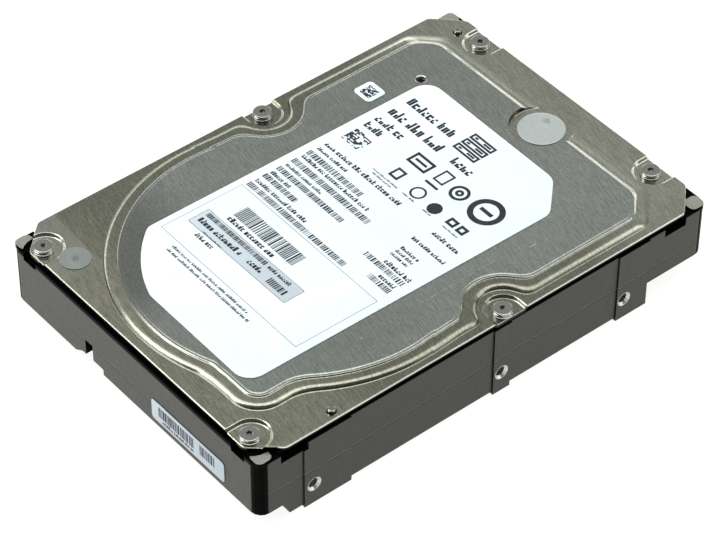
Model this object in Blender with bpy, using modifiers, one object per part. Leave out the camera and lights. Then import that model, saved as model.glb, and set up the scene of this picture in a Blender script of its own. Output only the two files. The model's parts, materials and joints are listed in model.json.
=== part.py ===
"""A 3.5-inch hard disk drive, modelled piece by piece, as it would come apart on a bench.

The constants are in millimetres, and MM turns them into Blender's metres. The origin is the middle of the drive's
footprint: +X runs across the width, +Y along the length to the connector end, and +Z is up, with the cover on top.
"""

import math

import bmesh
import bpy
from mathutils import Matrix

MM = 0.001

# Overall size of the standard 3.5-inch, one-inch-high drive.
WIDTH = 101.6
LENGTH = 147.0
HEIGHT = 26.1
HALF_X = WIDTH / 2
HALF_Y = LENGTH / 2

# Gaps between pieces: FIT between bulky neighbours, FILM in a thin stack.
FIT = 0.3
FILM = 0.1

# How far a point may lie off a straight run and still be dropped from an outline.
STRAIGHT = 0.06

# Heights, bottom to top.
RAIL_BOTTOM = 0.9
END_BOTTOM = 4.9
REAR_CORNER_BOTTOM = 6.6
BOARD_CEILING = 6.2
DECK_TOP = 8.2
BOSS_TOP = 22.1
WALL_TOP = 22.4
POST_TOP = 23.0
SHEET = 0.8
FLANGE_TOP = 24.5
FLANGE_BOTTOM = FLANGE_TOP - SHEET
BAND_TOP = 25.42
PLATEAU_TOP = 25.85
LABEL_BOTTOM = PLATEAU_TOP + FILM
POCKET_FLOOR = FLANGE_TOP - SHEET

# Plan of the casting.
SIDE_X = HALF_X - 0.4
FRONT_Y = -HALF_Y + 0.2
CORNER_RADIUS = 3.2
RAIL_INNER_X = 43.6
SIDE_BOSSES = ((-59.6, -45.0), (0.7, 6.3), (42.5, 53.0))
SIDE_HOLES_Y = (-56.6, 3.39, 45.0)
SIDE_HOLE_Z = 6.35
BOTTOM_HOLES_Y = (-43.98, -12.23, 32.22)
BOTTOM_HOLE_X = 47.63
TAPPED_RADIUS = 1.4
CHAMFER_RADIUS = 2.02

# Spindle, actuator pivot and the outline of the sealed cavity.
SPINDLE = (0.0, -21.0)
PIVOT = (-21.0, 30.0)
DISC_WALL_RADIUS = 48.5
CAVITY_SIDE_X = 47.9
CAVITY_REAR_Y = 62.3
CAVITY_CHAMFER_SUM = 101.4
LOBE_X = (14.0, 38.5)
LOBE_Y = (-65.4, -40.0)
LOBE_RADIUS = 8.0
MID_BOSS_RADIUS = 7.0

# The cover's raised middle follows the cavity, but reaches further at the rear; the seal's recess cuts into it.
RAISED_REAR_Y = 63.2
RECESS_RADIUS = 8.5

# Places on the cover. The screws sit a little forward of the middle of their pockets.
CORNER_POCKETS = ((-42.0, -68.7), (42.0, -68.7))
MID_POCKETS = ((-47.8, 6.0), (47.8, 6.0))
REAR_POCKETS = ((-33.5, 69.4), (33.5, 69.4))
POCKETS = CORNER_POCKETS + MID_POCKETS + REAR_POCKETS
COVER_SCREWS = tuple((x, y - 0.5) for x, y in POCKETS)
LOCATING_PINS = ((48.1, -49.1), (-40.8, 67.2))
PIN_RADIUS = 1.0
PIN_TOP = 25.5
YOKE_SCREW = (-30.9, 45.8)
LARGE_SEAL = (3.2, 58.2)
SMALL_SEAL = (-33.65, -65.3)
POCKET_RADIUS = 4.65
DIMPLE_RADIUS = 4.6
DIMPLE_FLOOR = 24.75
SEAL_RADIUS = 6.4
SMALL_SEAL_RADIUS = 4.1

# The main label, before its tilt: half width, ends, and the arc that cuts its front left corner.
LABEL_TILT = math.radians(-0.65)
LABEL_SIDES = (-29.6, 30.0)
LABEL_ENDS = (-59.8, 46.7)
LABEL_CHAMFER = 9.6
LABEL_ARC_CENTRE = (2.0, -22.0)
LABEL_ARC_RADIUS = 39.4

# Platters and head stack.
PLATTER_RADIUS = 47.5
PLATTER_BORE = 12.5
PLATTER_THICKNESS = 1.27
LOWER_PLATTER_Z = 14.0
UPPER_PLATTER_Z = 18.4
ARM_THICKNESS = 1.0
ARM_LEVELS = (11.4, 16.3, 21.4)
PARK_ANGLE = math.radians(-8.1)
LATCH_PIN = (-38.0, 17.0)
ARM_HUB_RADIUS = 7.3
ARM_REACH = 33.0
COIL_Z = (15.3, 18.1)

# Circuit board.
BOARD_BOTTOM = 2.4
BOARD_TOP = 3.6
BOARD_FRONT_Y = -16.0
BOARD_SCREWS = ((-38.0, -10.0), (38.0, -10.0), (-38.0, 58.0), (30.0, 48.0))


# ---------------------------------------------------------------- scene and materials


def clear_scene():
    """Removes what the scene holds and makes the two collections."""
    for obj in list(bpy.data.objects):
        bpy.data.objects.remove(obj)
    for name in ("hard_disk_drive", "cutters"):
        bpy.context.scene.collection.children.link(bpy.data.collections.new(name))


def material(name, color, roughness, metallic):
    """One Principled material per finish, made once."""
    found = bpy.data.materials.get(name)
    if found:
        return found
    made = bpy.data.materials.new(name)
    made.use_nodes = True
    made.diffuse_color = (*color, 1.0)
    shader = made.node_tree.nodes["Principled BSDF"]
    shader.inputs["Base Color"].default_value = (*color, 1.0)
    shader.inputs["Roughness"].default_value = roughness
    shader.inputs["Metallic"].default_value = metallic
    return made


def cast_black():
    return material("black_e_coat", (0.05, 0.05, 0.045), 0.5, 0.2)


def stainless():
    return material("brushed_stainless", (0.38, 0.38, 0.35), 0.35, 0.9)


def bright_steel():
    return material("bright_steel", (0.72, 0.71, 0.68), 0.22, 1.0)


def aluminium():
    return material("machined_aluminium", (0.74, 0.75, 0.76), 0.3, 1.0)


def paper():
    return material("label_paper", (0.88, 0.91, 0.94), 0.5, 0.0)


def foil():
    return material("silver_foil", (0.66, 0.69, 0.69), 0.4, 0.7)


def black_plastic():
    return material("black_plastic", (0.03, 0.03, 0.03), 0.4, 0.0)


def board_green():
    return material("solder_mask", (0.02, 0.12, 0.07), 0.35, 0.0)


def copper():
    return material("enamelled_copper", (0.62, 0.30, 0.14), 0.35, 0.8)


def mirror_platter():
    return material("platter_mirror", (0.82, 0.82, 0.84), 0.05, 1.0)


def nickel():
    return material("nickel_plate", (0.62, 0.62, 0.60), 0.25, 1.0)


# ---------------------------------------------------------------- shapes


def put(name, mesh, finish):
    """Adds a mesh as a piece, or as a cutter where it has no finish."""
    obj = bpy.data.objects.new(name, mesh)
    if finish is None:
        bpy.data.collections["cutters"].objects.link(obj)
        obj.hide_render = True
        obj.display_type = "WIRE"
    else:
        bpy.data.collections["hard_disk_drive"].objects.link(obj)
        mesh.materials.append(finish)
    return obj


def finished_mesh(work, name):
    """Turns a bmesh into a mesh whose faces point out and whose round sides are shaded smooth."""
    bmesh.ops.remove_doubles(work, verts=work.verts, dist=0.001 * MM)
    bmesh.ops.recalc_face_normals(work, faces=work.faces)
    mesh = bpy.data.meshes.new(name)
    work.to_mesh(mesh)
    work.free()
    mesh.shade_smooth()
    mesh.set_sharp_from_angle(angle=math.radians(35))
    return mesh


def without_straight_points(outline):
    """Drops the points of an outline that lie on the line between their neighbours."""
    kept = []
    for i, (x, y) in enumerate(outline):
        ax, ay = kept[-1] if kept else outline[-1]
        bx, by = outline[(i + 1) % len(outline)]
        length = math.hypot(bx - ax, by - ay)
        if length == 0 or abs((bx - ax) * (ay - y) - (ax - x) * (by - ay)) / length > STRAIGHT:
            kept.append((x, y))
    return kept


def plate(name, outline, bottom, top, finish=None, holes=()):
    """A flat piece: a closed outline, with any holes, between two heights."""
    curve = bpy.data.curves.new(name, "CURVE")
    curve.dimensions = "2D"
    curve.fill_mode = "BOTH"
    curve.extrude = (top - bottom) / 2 * MM
    for loop in (outline, *holes):
        loop = without_straight_points(loop)
        spline = curve.splines.new("POLY")
        spline.points.add(len(loop) - 1)
        for point, (x, y) in zip(spline.points, loop):
            point.co = (x * MM, y * MM, 0.0, 1.0)
        spline.use_cyclic_u = True
    guide = bpy.data.objects.new(name + "_outline", curve)
    guide.location.z = (bottom + top) / 2 * MM
    bpy.context.scene.collection.objects.link(guide)
    graph = bpy.context.evaluated_depsgraph_get()
    flat = bpy.data.meshes.new_from_object(guide.evaluated_get(graph))
    work = bmesh.new()
    work.from_mesh(flat)
    work.transform(guide.matrix_world)
    bpy.data.objects.remove(guide)
    return put(name, finished_mesh(work, name), finish)


def box(name, low, high, finish=None):
    """A box between two corners."""
    work = bmesh.new()
    bmesh.ops.create_cube(work, size=1.0)
    size = [(b - a) * MM for a, b in zip(low, high)]
    middle = [(a + b) / 2 * MM for a, b in zip(low, high)]
    work.transform(Matrix.Translation(middle) @ Matrix.Diagonal((*size, 1.0)))
    return put(name, finished_mesh(work, name), finish)


def cylinder(name, radius, bottom, top, place, finish=None, sides=12):
    """An upright cylinder at a place (x, y)."""
    work = bmesh.new()
    bmesh.ops.create_cone(
        work,
        cap_ends=True,
        segments=sides,
        radius1=radius * MM,
        radius2=radius * MM,
        depth=(top - bottom) * MM,
    )
    work.transform(Matrix.Translation((place[0] * MM, place[1] * MM, (bottom + top) / 2 * MM)))
    return put(name, finished_mesh(work, name), finish)


def side_hole(name, radius, depth, side, y, z, mouth=None):
    """A cutter for a hole into the side of the casting, wider at its mouth where mouth is given."""
    work = bmesh.new()
    bmesh.ops.create_cone(
        work,
        cap_ends=True,
        segments=12,
        radius1=radius * MM,
        radius2=(mouth or radius) * MM,
        depth=depth * MM,
    )
    turn = Matrix.Rotation(math.radians(90 * side), 4, "Y")
    centre_x = side * (HALF_X + 0.02 - depth / 2)
    work.transform(Matrix.Translation((centre_x * MM, y * MM, z * MM)) @ turn)
    return put(name, finished_mesh(work, name), None)


def turned(name, profile, place, finish, steps=30):
    """A turned piece: profile points (radius, height) run down the outer side, then back up the bore."""
    on_axis = profile[0][0] == 0.0
    mesh = bpy.data.meshes.new(name)
    points = [(radius * MM, 0.0, height * MM) for radius, height in profile]
    edges = [(i, i + 1) for i in range(len(points) - 1)]
    if not on_axis:
        edges.append((len(points) - 1, 0))
    mesh.from_pydata(points, edges, [])
    guide = bpy.data.objects.new(name + "_profile", mesh)
    bpy.context.scene.collection.objects.link(guide)
    screw = guide.modifiers.new("turn", "SCREW")
    screw.steps = steps
    screw.render_steps = steps
    screw.use_merge_vertices = True
    screw.merge_threshold = 0.00001
    graph = bpy.context.evaluated_depsgraph_get()
    work = bmesh.new()
    work.from_mesh(bpy.data.meshes.new_from_object(guide.evaluated_get(graph)))
    bpy.data.objects.remove(guide)
    work.transform(Matrix.Translation((place[0] * MM, place[1] * MM, 0.0)))
    return put(name, finished_mesh(work, name), finish)


def lofted(name, rings, finish=None):
    """A closed solid through rings of the same number of points, from bottom to top."""
    work = bmesh.new()
    loops = [[work.verts.new((x * MM, y * MM, z * MM)) for x, y in outline] for outline, z in rings]
    for lower, upper in zip(loops, loops[1:]):
        for i in range(len(lower)):
            j = (i + 1) % len(lower)
            work.faces.new((lower[i], lower[j], upper[j], upper[i]))
    work.faces.new(list(reversed(loops[0])))
    work.faces.new(loops[-1])
    return put(name, finished_mesh(work, name), finish)


def prism(name, outline, low, high, along, finish=None):
    """A piece or cutter with a constant section: (y, z) points along X, or (x, z) points along Y."""
    obj = plate(name, outline, low, high, finish)
    if along == "X":
        turn = Matrix(((0, 0, 1, 0), (1, 0, 0, 0), (0, 1, 0, 0), (0, 0, 0, 1)))
    else:
        turn = Matrix(((1, 0, 0, 0), (0, 0, 1, 0), (0, 1, 0, 0), (0, 0, 0, 1)))
    obj.data.transform(turn)
    if along == "Y":
        obj.data.flip_normals()
    return obj


def gathered(name, tools):
    """One cutter made of several that don't meet."""
    graph = bpy.context.evaluated_depsgraph_get()
    work = bmesh.new()
    for tool in tools:
        mesh = bpy.data.meshes.new_from_object(tool.evaluated_get(graph))
        mesh.transform(tool.matrix_world)
        work.from_mesh(mesh)
        bpy.data.objects.remove(tool)
    return put(name, finished_mesh(work, name), None)


def cut(piece, *tools):
    """Takes tools that don't meet out of a piece."""
    boolean(piece, tools, "DIFFERENCE")


def join(piece, *tools):
    """Adds tools that don't meet to a piece."""
    boolean(piece, tools, "UNION")


def boolean(piece, tools, operation):
    tool = tools[0] if len(tools) == 1 else gathered(tools[0].name + "_group", tools)
    modifier = piece.modifiers.new(operation.lower(), "BOOLEAN")
    modifier.operation = operation
    modifier.solver = "EXACT"
    modifier.object = tool


# ---------------------------------------------------------------- outlines


def rounded(corners, step=22.5):
    """A closed outline through corners (x, y, radius), with an arc at each."""
    outline = []
    count = len(corners)
    for i, (x, y, radius) in enumerate(corners):
        before = corners[i - 1]
        after = corners[(i + 1) % count]
        to_before = math.atan2(before[1] - y, before[0] - x)
        to_after = math.atan2(after[1] - y, after[0] - x)
        opening = (to_after - to_before + math.pi) % (2 * math.pi) - math.pi
        if radius == 0:
            outline.append((x, y))
            continue
        setback = radius / abs(math.tan(opening / 2))
        start = (x + setback * math.cos(to_before), y + setback * math.sin(to_before))
        reach = math.hypot(setback, radius)
        half = to_before + opening / 2
        centre = (x + reach * math.cos(half), y + reach * math.sin(half))
        first = math.atan2(start[1] - centre[1], start[0] - centre[0])
        turn = math.copysign(math.pi - abs(opening), -opening)
        arcs = max(2, math.ceil(abs(math.degrees(turn)) / step))
        for k in range(arcs + 1):
            angle = first + turn * k / arcs
            outline.append((centre[0] + radius * math.cos(angle), centre[1] + radius * math.sin(angle)))
    return outline


def rectangle(low, high, radius, step=22.5):
    (x0, y0), (x1, y1) = low, high
    return rounded([(x0, y0, radius), (x1, y0, radius), (x1, y1, radius), (x0, y1, radius)], step)


def polar(centre, radius, angle):
    return centre[0] + radius * math.cos(angle), centre[1] + radius * math.sin(angle)


def sector(centre, inner, outer, start, end, step=7.5):
    """The outline of a ring sector between two angles in degrees."""
    count = max(2, math.ceil(abs(end - start) / step))
    angles = [math.radians(start + (end - start) * k / count) for k in range(count + 1)]
    outline = [polar(centre, outer, angle) for angle in angles]
    return outline + [polar(centre, inner, angle) for angle in reversed(angles)]


def smooth_max(a, b, blend):
    """The larger of two distances, rounded over where they cross."""
    overlap = max(blend - abs(a - b), 0.0) / blend
    return max(a, b) + overlap * overlap * blend / 4


def lobe_distance(x, y):
    """Distance to the rounded pocket at the front right, outside the platters."""
    qx = abs(x - sum(LOBE_X) / 2) - (LOBE_X[1] - LOBE_X[0]) / 2 + LOBE_RADIUS
    qy = abs(y - sum(LOBE_Y) / 2) - (LOBE_Y[1] - LOBE_Y[0]) / 2 + LOBE_RADIUS
    outside = math.hypot(max(qx, 0.0), max(qy, 0.0))
    return outside + min(max(qx, qy), 0.0) - LOBE_RADIUS


def cavity_distance(x, y, rear=CAVITY_REAR_Y):
    """Distance to the cavity's wall, negative inside: platter well, actuator room, lobe and screw bosses."""
    well = math.hypot(x - SPINDLE[0], y - SPINDLE[1]) - DISC_WALL_RADIUS
    chamfer = (abs(x) + y - CAVITY_CHAMFER_SUM) / math.sqrt(2)
    room = max(abs(x) - CAVITY_SIDE_X, y - rear, chamfer, SPINDLE[1] - y)
    distance = min(well, room, lobe_distance(x, y))
    for boss_x, boss_y in MID_POCKETS:
        boss = MID_BOSS_RADIUS - math.hypot(x - boss_x, y - boss_y)
        distance = smooth_max(distance, boss, 3.0)
    return distance


def raised_distance(x, y):
    """Distance to the foot of the cover's raised middle."""
    return cavity_distance(x, y, RAISED_REAR_Y)


def offset_outline(distance, offset, rays=240):
    """The line at an offset from a distance field's zero, along rays that crowd towards the middle pockets."""
    outline = []
    for k in range(rays):
        angle = 2 * math.pi * k / rays
        angle -= 0.3 * math.sin(2 * angle)
        dx, dy = math.cos(angle), math.sin(angle)
        far = 20.0
        while distance(far * dx, MID_POCKETS[0][1] + far * dy) < offset:
            far += 0.5
        near = far - 0.5
        for _ in range(20):
            middle = (near + far) / 2
            if distance(middle * dx, MID_POCKETS[0][1] + middle * dy) < offset:
                near = middle
            else:
                far = middle
        outline.append((near * dx, MID_POCKETS[0][1] + near * dy))
    return outline


def pocket_outline(pocket, radius):
    """A U-shaped outline round a cover screw's pocket, open past the cover's nearest edge."""
    x, y = pocket
    if abs(abs(x) - MID_POCKETS[1][0]) < 1.0:
        facing = 0.0 if x > 0 else math.pi
    else:
        facing = math.copysign(math.pi / 2, y)
    arc = [math.pi / 2 + math.pi * k / 10 for k in range(11)]
    points = [polar((0.0, 0.0), radius, angle) for angle in arc]
    points += [(9.0, -radius), (9.0, radius)]
    cosine, sine = math.cos(facing), math.sin(facing)
    return [(x + px * cosine - py * sine, y + px * sine + py * cosine) for px, py in points]


def flange_outline():
    """The cover's edge: straight sides with a cut at each corner."""
    side, front, rear = SIDE_X + 0.1, -72.4, 72.5
    corners = [(-43.6, front, 2.0), (43.6, front, 2.0), (side, -64.8, 2.0), (side, 64.9, 2.0)]
    corners += [(42.9, rear, 2.0), (-42.9, rear, 2.0), (-side, 64.9, 2.0), (-side, -64.8, 2.0)]
    return rounded(corners, 20.0)


# ---------------------------------------------------------------- casting and cover


def base_casting():
    """The tub: side rails, bosses with tapped holes, the sealed cavity and the recess for the board."""
    outline = rectangle((-SIDE_X, FRONT_Y), (SIDE_X, HALF_Y), CORNER_RADIUS)
    base = plate("base_casting", outline, RAIL_BOTTOM, WALL_TOP, cast_black())
    inner = RAIL_INNER_X
    cut(base, box("channel", (-inner, -80, -1), (inner, 80, END_BOTTOM)))
    ramp = [(-80, -1), (-62.6, -1), (-64.1, 1.2), (-66.0, END_BOTTOM), (-80, END_BOTTOM)]
    cut(base, prism("front_ramp", ramp, -60, 60, "X"))
    cut(base, box("rear_underside", (-60, 53.2, -1), (60, 80, REAR_CORNER_BOTTOM)))
    cut(base, box("board_recess", (-inner, -18, 3), (inner, 60, BOARD_CEILING)))
    add_bosses(base)
    cavity = offset_outline(cavity_distance, 0.0)
    cut(base, plate("cavity", cavity, DECK_TOP, WALL_TOP + 2))
    join(base, *corner_posts())
    room = POCKET_RADIUS + SHEET + FIT
    cut(base, *[cylinder("cup_room", room, WALL_TOP, 30, place, sides=24) for place in CORNER_POCKETS])
    join(base, *[cylinder("pad", 2.5, WALL_TOP - 1, 22.75, place) for place in COVER_SCREWS])
    cut_wall_pockets(base)
    cut_holes(base)
    return base


def add_bosses(base):
    """Mounting bosses that stand proud of the sides, and the feet round the bottom holes."""
    bosses = []
    for side in (-1, 1):
        for low, high in SIDE_BOSSES:
            x0, x1 = sorted((side * (RAIL_INNER_X + 1.0), side * HALF_X))
            bosses.append(box("boss", (x0, low, 0.0), (x1, high, BOSS_TOP)))
    join(base, *bosses)
    feet = []
    for side in (-1, 1):
        for y in BOTTOM_HOLES_Y:
            feet.append(cylinder("foot", 2.2, 0.0, 3.0, (side * (BOTTOM_HOLE_X - 0.4), y)))
    join(base, *feet)
    stubs = [cylinder("stub", 2.8, 3.95, 7.4, place) for place in BOARD_SCREWS]
    join(base, *stubs)


def corner_posts():
    """The bare pads at the four corners, just below the cover's cut corners."""
    posts = []
    for side in (-1, 1):
        for end in (-1, 1):
            x0, x1 = sorted((side * 45.8, side * 50.1))
            y0, y1 = sorted((end * 68.3, end * 72.9))
            posts.append(plate("post", rectangle((x0, y0), (x1, y1), 1.4, 30.0), WALL_TOP - 1, POST_TOP))
    return posts


def cut_wall_pockets(base):
    """The shallow pockets in the top of the walls, and the notch and slot in the front wall."""
    pockets = []
    for side in (-1, 1):
        for low, high in ((-66.4, -58.3), (58.5, 65.8)):
            x0, x1 = sorted((side * 48.7, side * 53.0))
            pockets.append(box("pocket", (x0, low, 19.7), (x1, high, 25)))
        x0, x1 = sorted((side * 39.9, side * 45.1))
        pockets.append(box("pocket", (x0, -76, 20.4), (x1, -71.6, 25)))
    cut(base, *pockets)
    notch = [(-24.0, 4.0), (-24.0, END_BOTTOM), (-21.0, 6.7), (-12.3, 6.7), (-12.3, 4.0)]
    cut(base, prism("front_notch", notch, -76, -70.2, "Y"))
    cut(base, box("front_slot", (-19.6, -76, 4), (-16.5, -71.4, 11.8)))
    cut(base, box("connector_notch", (-14.2, 64.4, 4), (42.4, 80, 9.3)))


def cut_holes(base):
    """Mounting holes, cover screw holes, pin holes and the motor's seat."""
    mouths = []
    bores = []
    for side in (-1, 1):
        for y in SIDE_HOLES_Y:
            mouths.append(side_hole("mouth", TAPPED_RADIUS, 0.65, side, y, SIDE_HOLE_Z, CHAMFER_RADIUS))
            bores.append(side_hole("bore", TAPPED_RADIUS, 4.6, side, y, SIDE_HOLE_Z))
        for y in BOTTOM_HOLES_Y:
            bores.append(cylinder("bore", TAPPED_RADIUS, -1, 3.6, (side * BOTTOM_HOLE_X, y), sides=12))
    cut(base, *mouths)
    cut(base, *bores)
    tops = [cylinder("tapped", 1.5, 15.0, 25.0, place, sides=10) for place in COVER_SCREWS]
    tops += [cylinder("pin_hole", PIN_RADIUS + 0.15, 17.5, 25.0, place, sides=16) for place in LOCATING_PINS]
    tops += [cylinder("stud_hole", 0.8, 3.0, 6.6, place, sides=8) for place in BOARD_SCREWS]
    tops.append(cylinder("motor_seat", 14.0, 4.0, 9.0, SPINDLE, sides=30))
    tops.append(cylinder("breather_hole", 0.8, 4.0, 9.0, (37.0, 50.0), sides=12))
    cut(base, *tops)


def top_cover():
    """The pressed steel cover: flange, raised bead and plateau, screw pockets and seal recess."""
    sheet = rectangle((-HALF_X - 1, -HALF_Y), (HALF_X + 1, HALF_Y), 0.0)
    cover = plate("top_cover", sheet, FLANGE_BOTTOM, FLANGE_TOP, stainless())
    outer = [(-0.0, FLANGE_BOTTOM + 0.2), (-0.0, FLANGE_TOP + 0.05), (-0.5, 25.05), (-1.3, BAND_TOP)]
    outer += [(-3.5, BAND_TOP + 0.02), (-4.3, PLATEAU_TOP)]
    rings = [(offset_outline(raised_distance, offset, 84), z) for offset, z in outer]
    join(cover, lofted("raised", rings))
    inner = [(-1.0, FLANGE_BOTTOM - 1), (-1.2, FLANGE_TOP - 0.3), (-1.9, BAND_TOP - SHEET)]
    inner += [(-4.2, BAND_TOP - SHEET), (-5.0, PLATEAU_TOP - SHEET)]
    rings = [(offset_outline(raised_distance, offset, 84), z) for offset, z in inner]
    cut(cover, lofted("hollow", rings))
    cups = []
    pockets = []
    for place in POCKETS:
        cups.append(plate("cup", pocket_outline(place, POCKET_RADIUS + SHEET), POCKET_FLOOR - SHEET, 24.2))
        pockets.append(plate("pocket", pocket_outline(place, POCKET_RADIUS), POCKET_FLOOR, 27.0))
    join(cover, *cups)
    cut(cover, *pockets)
    outside = plate("outside", rectangle((-80, -90), (80, 90), 5.0), 20, 30, holes=(flange_outline(),))
    cut(cover, outside)
    dimples = [cylinder("recess", RECESS_RADIUS + SHEET, FLANGE_BOTTOM, 25.3, LARGE_SEAL, sides=32)]
    bowls = [cylinder("recess_bowl", RECESS_RADIUS, FLANGE_TOP, 27.0, LARGE_SEAL, sides=32)]
    for place in (SPINDLE, PIVOT):
        dimples.append(cylinder("dimple", DIMPLE_RADIUS + SHEET, DIMPLE_FLOOR - SHEET, 25.3, place, sides=20))
        bowls.append(cylinder("bowl", DIMPLE_RADIUS, DIMPLE_FLOOR, 27.0, place, sides=20))
    join(cover, *dimples)
    cut(cover, *bowls)
    holes = [cylinder("screw_hole", 1.6, 20, 28, place) for place in COVER_SCREWS]
    holes += [cylinder("pin_hole", PIN_RADIUS + 0.5, 20, 28, place) for place in LOCATING_PINS]
    holes += [cylinder("hub_hole", 1.6, 20, 28, place) for place in (SPINDLE, PIVOT)]
    holes.append(cylinder("yoke_hole", 1.3, 20, 28, YOKE_SCREW))
    holes.append(cylinder("large_port", 4.2, 20, 28, LARGE_SEAL, sides=20))
    holes.append(cylinder("small_port", 1.2, 20, 28, SMALL_SEAL, sides=12))
    cut(cover, *holes)
    return cover


def cover_gasket():
    """The rubber seal between the casting's wall and the cover, just outside the cavity."""
    outline = offset_outline(cavity_distance, 1.15)
    opening = offset_outline(cavity_distance, 0.25)
    rubber = material("gasket_rubber", (0.02, 0.02, 0.02), 0.7, 0.0)
    return plate("cover_gasket", outline, WALL_TOP + FILM, FLANGE_BOTTOM - FILM, rubber, holes=(opening,))


def star_outline(place, radius, lobes=6, depth=0.2):
    """The six-lobed outline of a screw's drive recess."""
    count = lobes * 2
    return [polar(place, radius * (1 + depth * (-1) ** k), 2 * math.pi * k / count) for k in range(count)]


def cap_screw(name, place, size, floor, length, shank=1.15, recess=1.1):
    """A low-headed screw with a six-lobed recess; floor is the underside of its head."""
    radius, height = size
    top = floor + height
    head = radius * 0.92
    profile = [(0.0, top), (head, top), (head, floor + 0.35), (radius, floor + 0.3)]
    profile += [(radius, floor), (shank, floor), (shank, floor - length), (0.0, floor - length)]
    screw = turned(name, profile, place, nickel(), 12)
    cut(screw, plate(name + "_recess", star_outline(place, recess), top - height * 0.6, top + 1))
    return screw


def fasteners():
    """Cover screws, locating pins, the screws under the label and the one in the small hole."""
    for number, place in enumerate(COVER_SCREWS, 1):
        cap_screw(f"cover_screw_{number}", place, (2.75, 1.45), POCKET_FLOOR + FILM, 7.0)
    for number, place in enumerate(LOCATING_PINS, 1):
        profile = [(0.0, PIN_TOP), (PIN_RADIUS - 0.15, PIN_TOP), (PIN_RADIUS, PIN_TOP - 0.15)]
        profile += [(PIN_RADIUS, 18.0), (0.0, 18.0)]
        turned(f"locating_pin_{number}", profile, place, bright_steel(), 12)
    hub_head = DIMPLE_FLOOR + FILM
    cap_screw("spindle_top_screw", SPINDLE, (3.6, 0.85), hub_head, 5.0, 1.2, 1.4)
    cap_screw("pivot_top_screw", PIVOT, (3.6, 0.85), hub_head, 5.0, 1.2, 1.4)
    cap_screw("yoke_screw", YOKE_SCREW, (1.9, 1.0), 23.55, 2.2, 0.9, 0.8)


# ---------------------------------------------------------------- labels and seals


def label_outline():
    """The main label: rounded, with a straight cut at the connector end and an arc at the front left."""
    (left, right), (front, rear) = LABEL_SIDES, LABEL_ENDS
    centre_x, centre_y = LABEL_ARC_CENTRE
    side_y = centre_y - math.sqrt(LABEL_ARC_RADIUS**2 - (left - centre_x) ** 2)
    front_x = centre_x - math.sqrt(LABEL_ARC_RADIUS**2 - (front - centre_y) ** 2)
    start = math.atan2(side_y - centre_y, left - centre_x)
    end = math.atan2(front - centre_y, front_x - centre_x)
    arc = [polar(LABEL_ARC_CENTRE, LABEL_ARC_RADIUS, start + (end - start) * k / 8) for k in range(1, 8)]
    corners = [(front_x, front, 4.0), (right, front, 5.0), (right, rear - LABEL_CHAMFER, 5.0)]
    corners += [(right - LABEL_CHAMFER, rear, 5.0), (left, rear, 5.0), (left, side_y, 3.0)]
    corners += [(x, y, 0) for x, y in arc]
    cosine, sine = math.cos(LABEL_TILT), math.sin(LABEL_TILT)
    tilted = [(x * cosine - y * sine, x * sine + y * cosine, radius) for x, y, radius in corners]
    return rounded(tilted, 10.0)


def labels():
    """Paper and foil stuck to the outside."""
    plate("main_label", label_outline(), LABEL_BOTTOM, HEIGHT - 0.02, paper())
    strip = rectangle((-25.6, -35.7), (13.1, -29.3), 1.0, 30.0)
    strip_finish = material("strip_paper", (0.62, 0.67, 0.72), 0.5, 0.0)
    # The strip sits in a window of the main label, so that neither passes the drive's height.
    label = bpy.data.objects["main_label"]
    window = rectangle((-25.75, -35.85), (13.25, -29.15), 1.1, 30.0)
    cut(label, plate("strip_window", window, LABEL_BOTTOM - 1, HEIGHT + 1))
    plate("strip_label", strip, LABEL_BOTTOM, HEIGHT, strip_finish)
    code = rectangle((-38.7, 28.6), (-32.1, 35.0), 1.3, 30.0)
    plate("code_sticker", code, PLATEAU_TOP + FILM, PLATEAU_TOP + 0.2, paper())
    rim = SEAL_RADIUS
    seal = [(0.0, FLANGE_TOP + 0.25), (rim - 0.1, FLANGE_TOP + 0.25), (rim, FLANGE_TOP + 0.2)]
    seal += [(rim, FLANGE_TOP + FILM), (0.0, FLANGE_TOP + FILM)]
    turned("large_round_seal", seal, LARGE_SEAL, foil(), 28)
    rim = SMALL_SEAL_RADIUS
    seal = [(0.0, FLANGE_TOP + 0.3), (1.5, FLANGE_TOP + 0.28), (rim, FLANGE_TOP + 0.2)]
    seal += [(rim, FLANGE_TOP + FILM), (0.0, FLANGE_TOP + FILM)]
    turned("small_round_seal", seal, SMALL_SEAL, foil(), 24)
    outline = rectangle((8.2, 6.7), (37.2, 13.3), 1.0, 30.0)
    prism("front_barcode_label", outline, -HALF_Y, FRONT_Y - FILM, "Y", paper())


# ---------------------------------------------------------------- board


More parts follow.
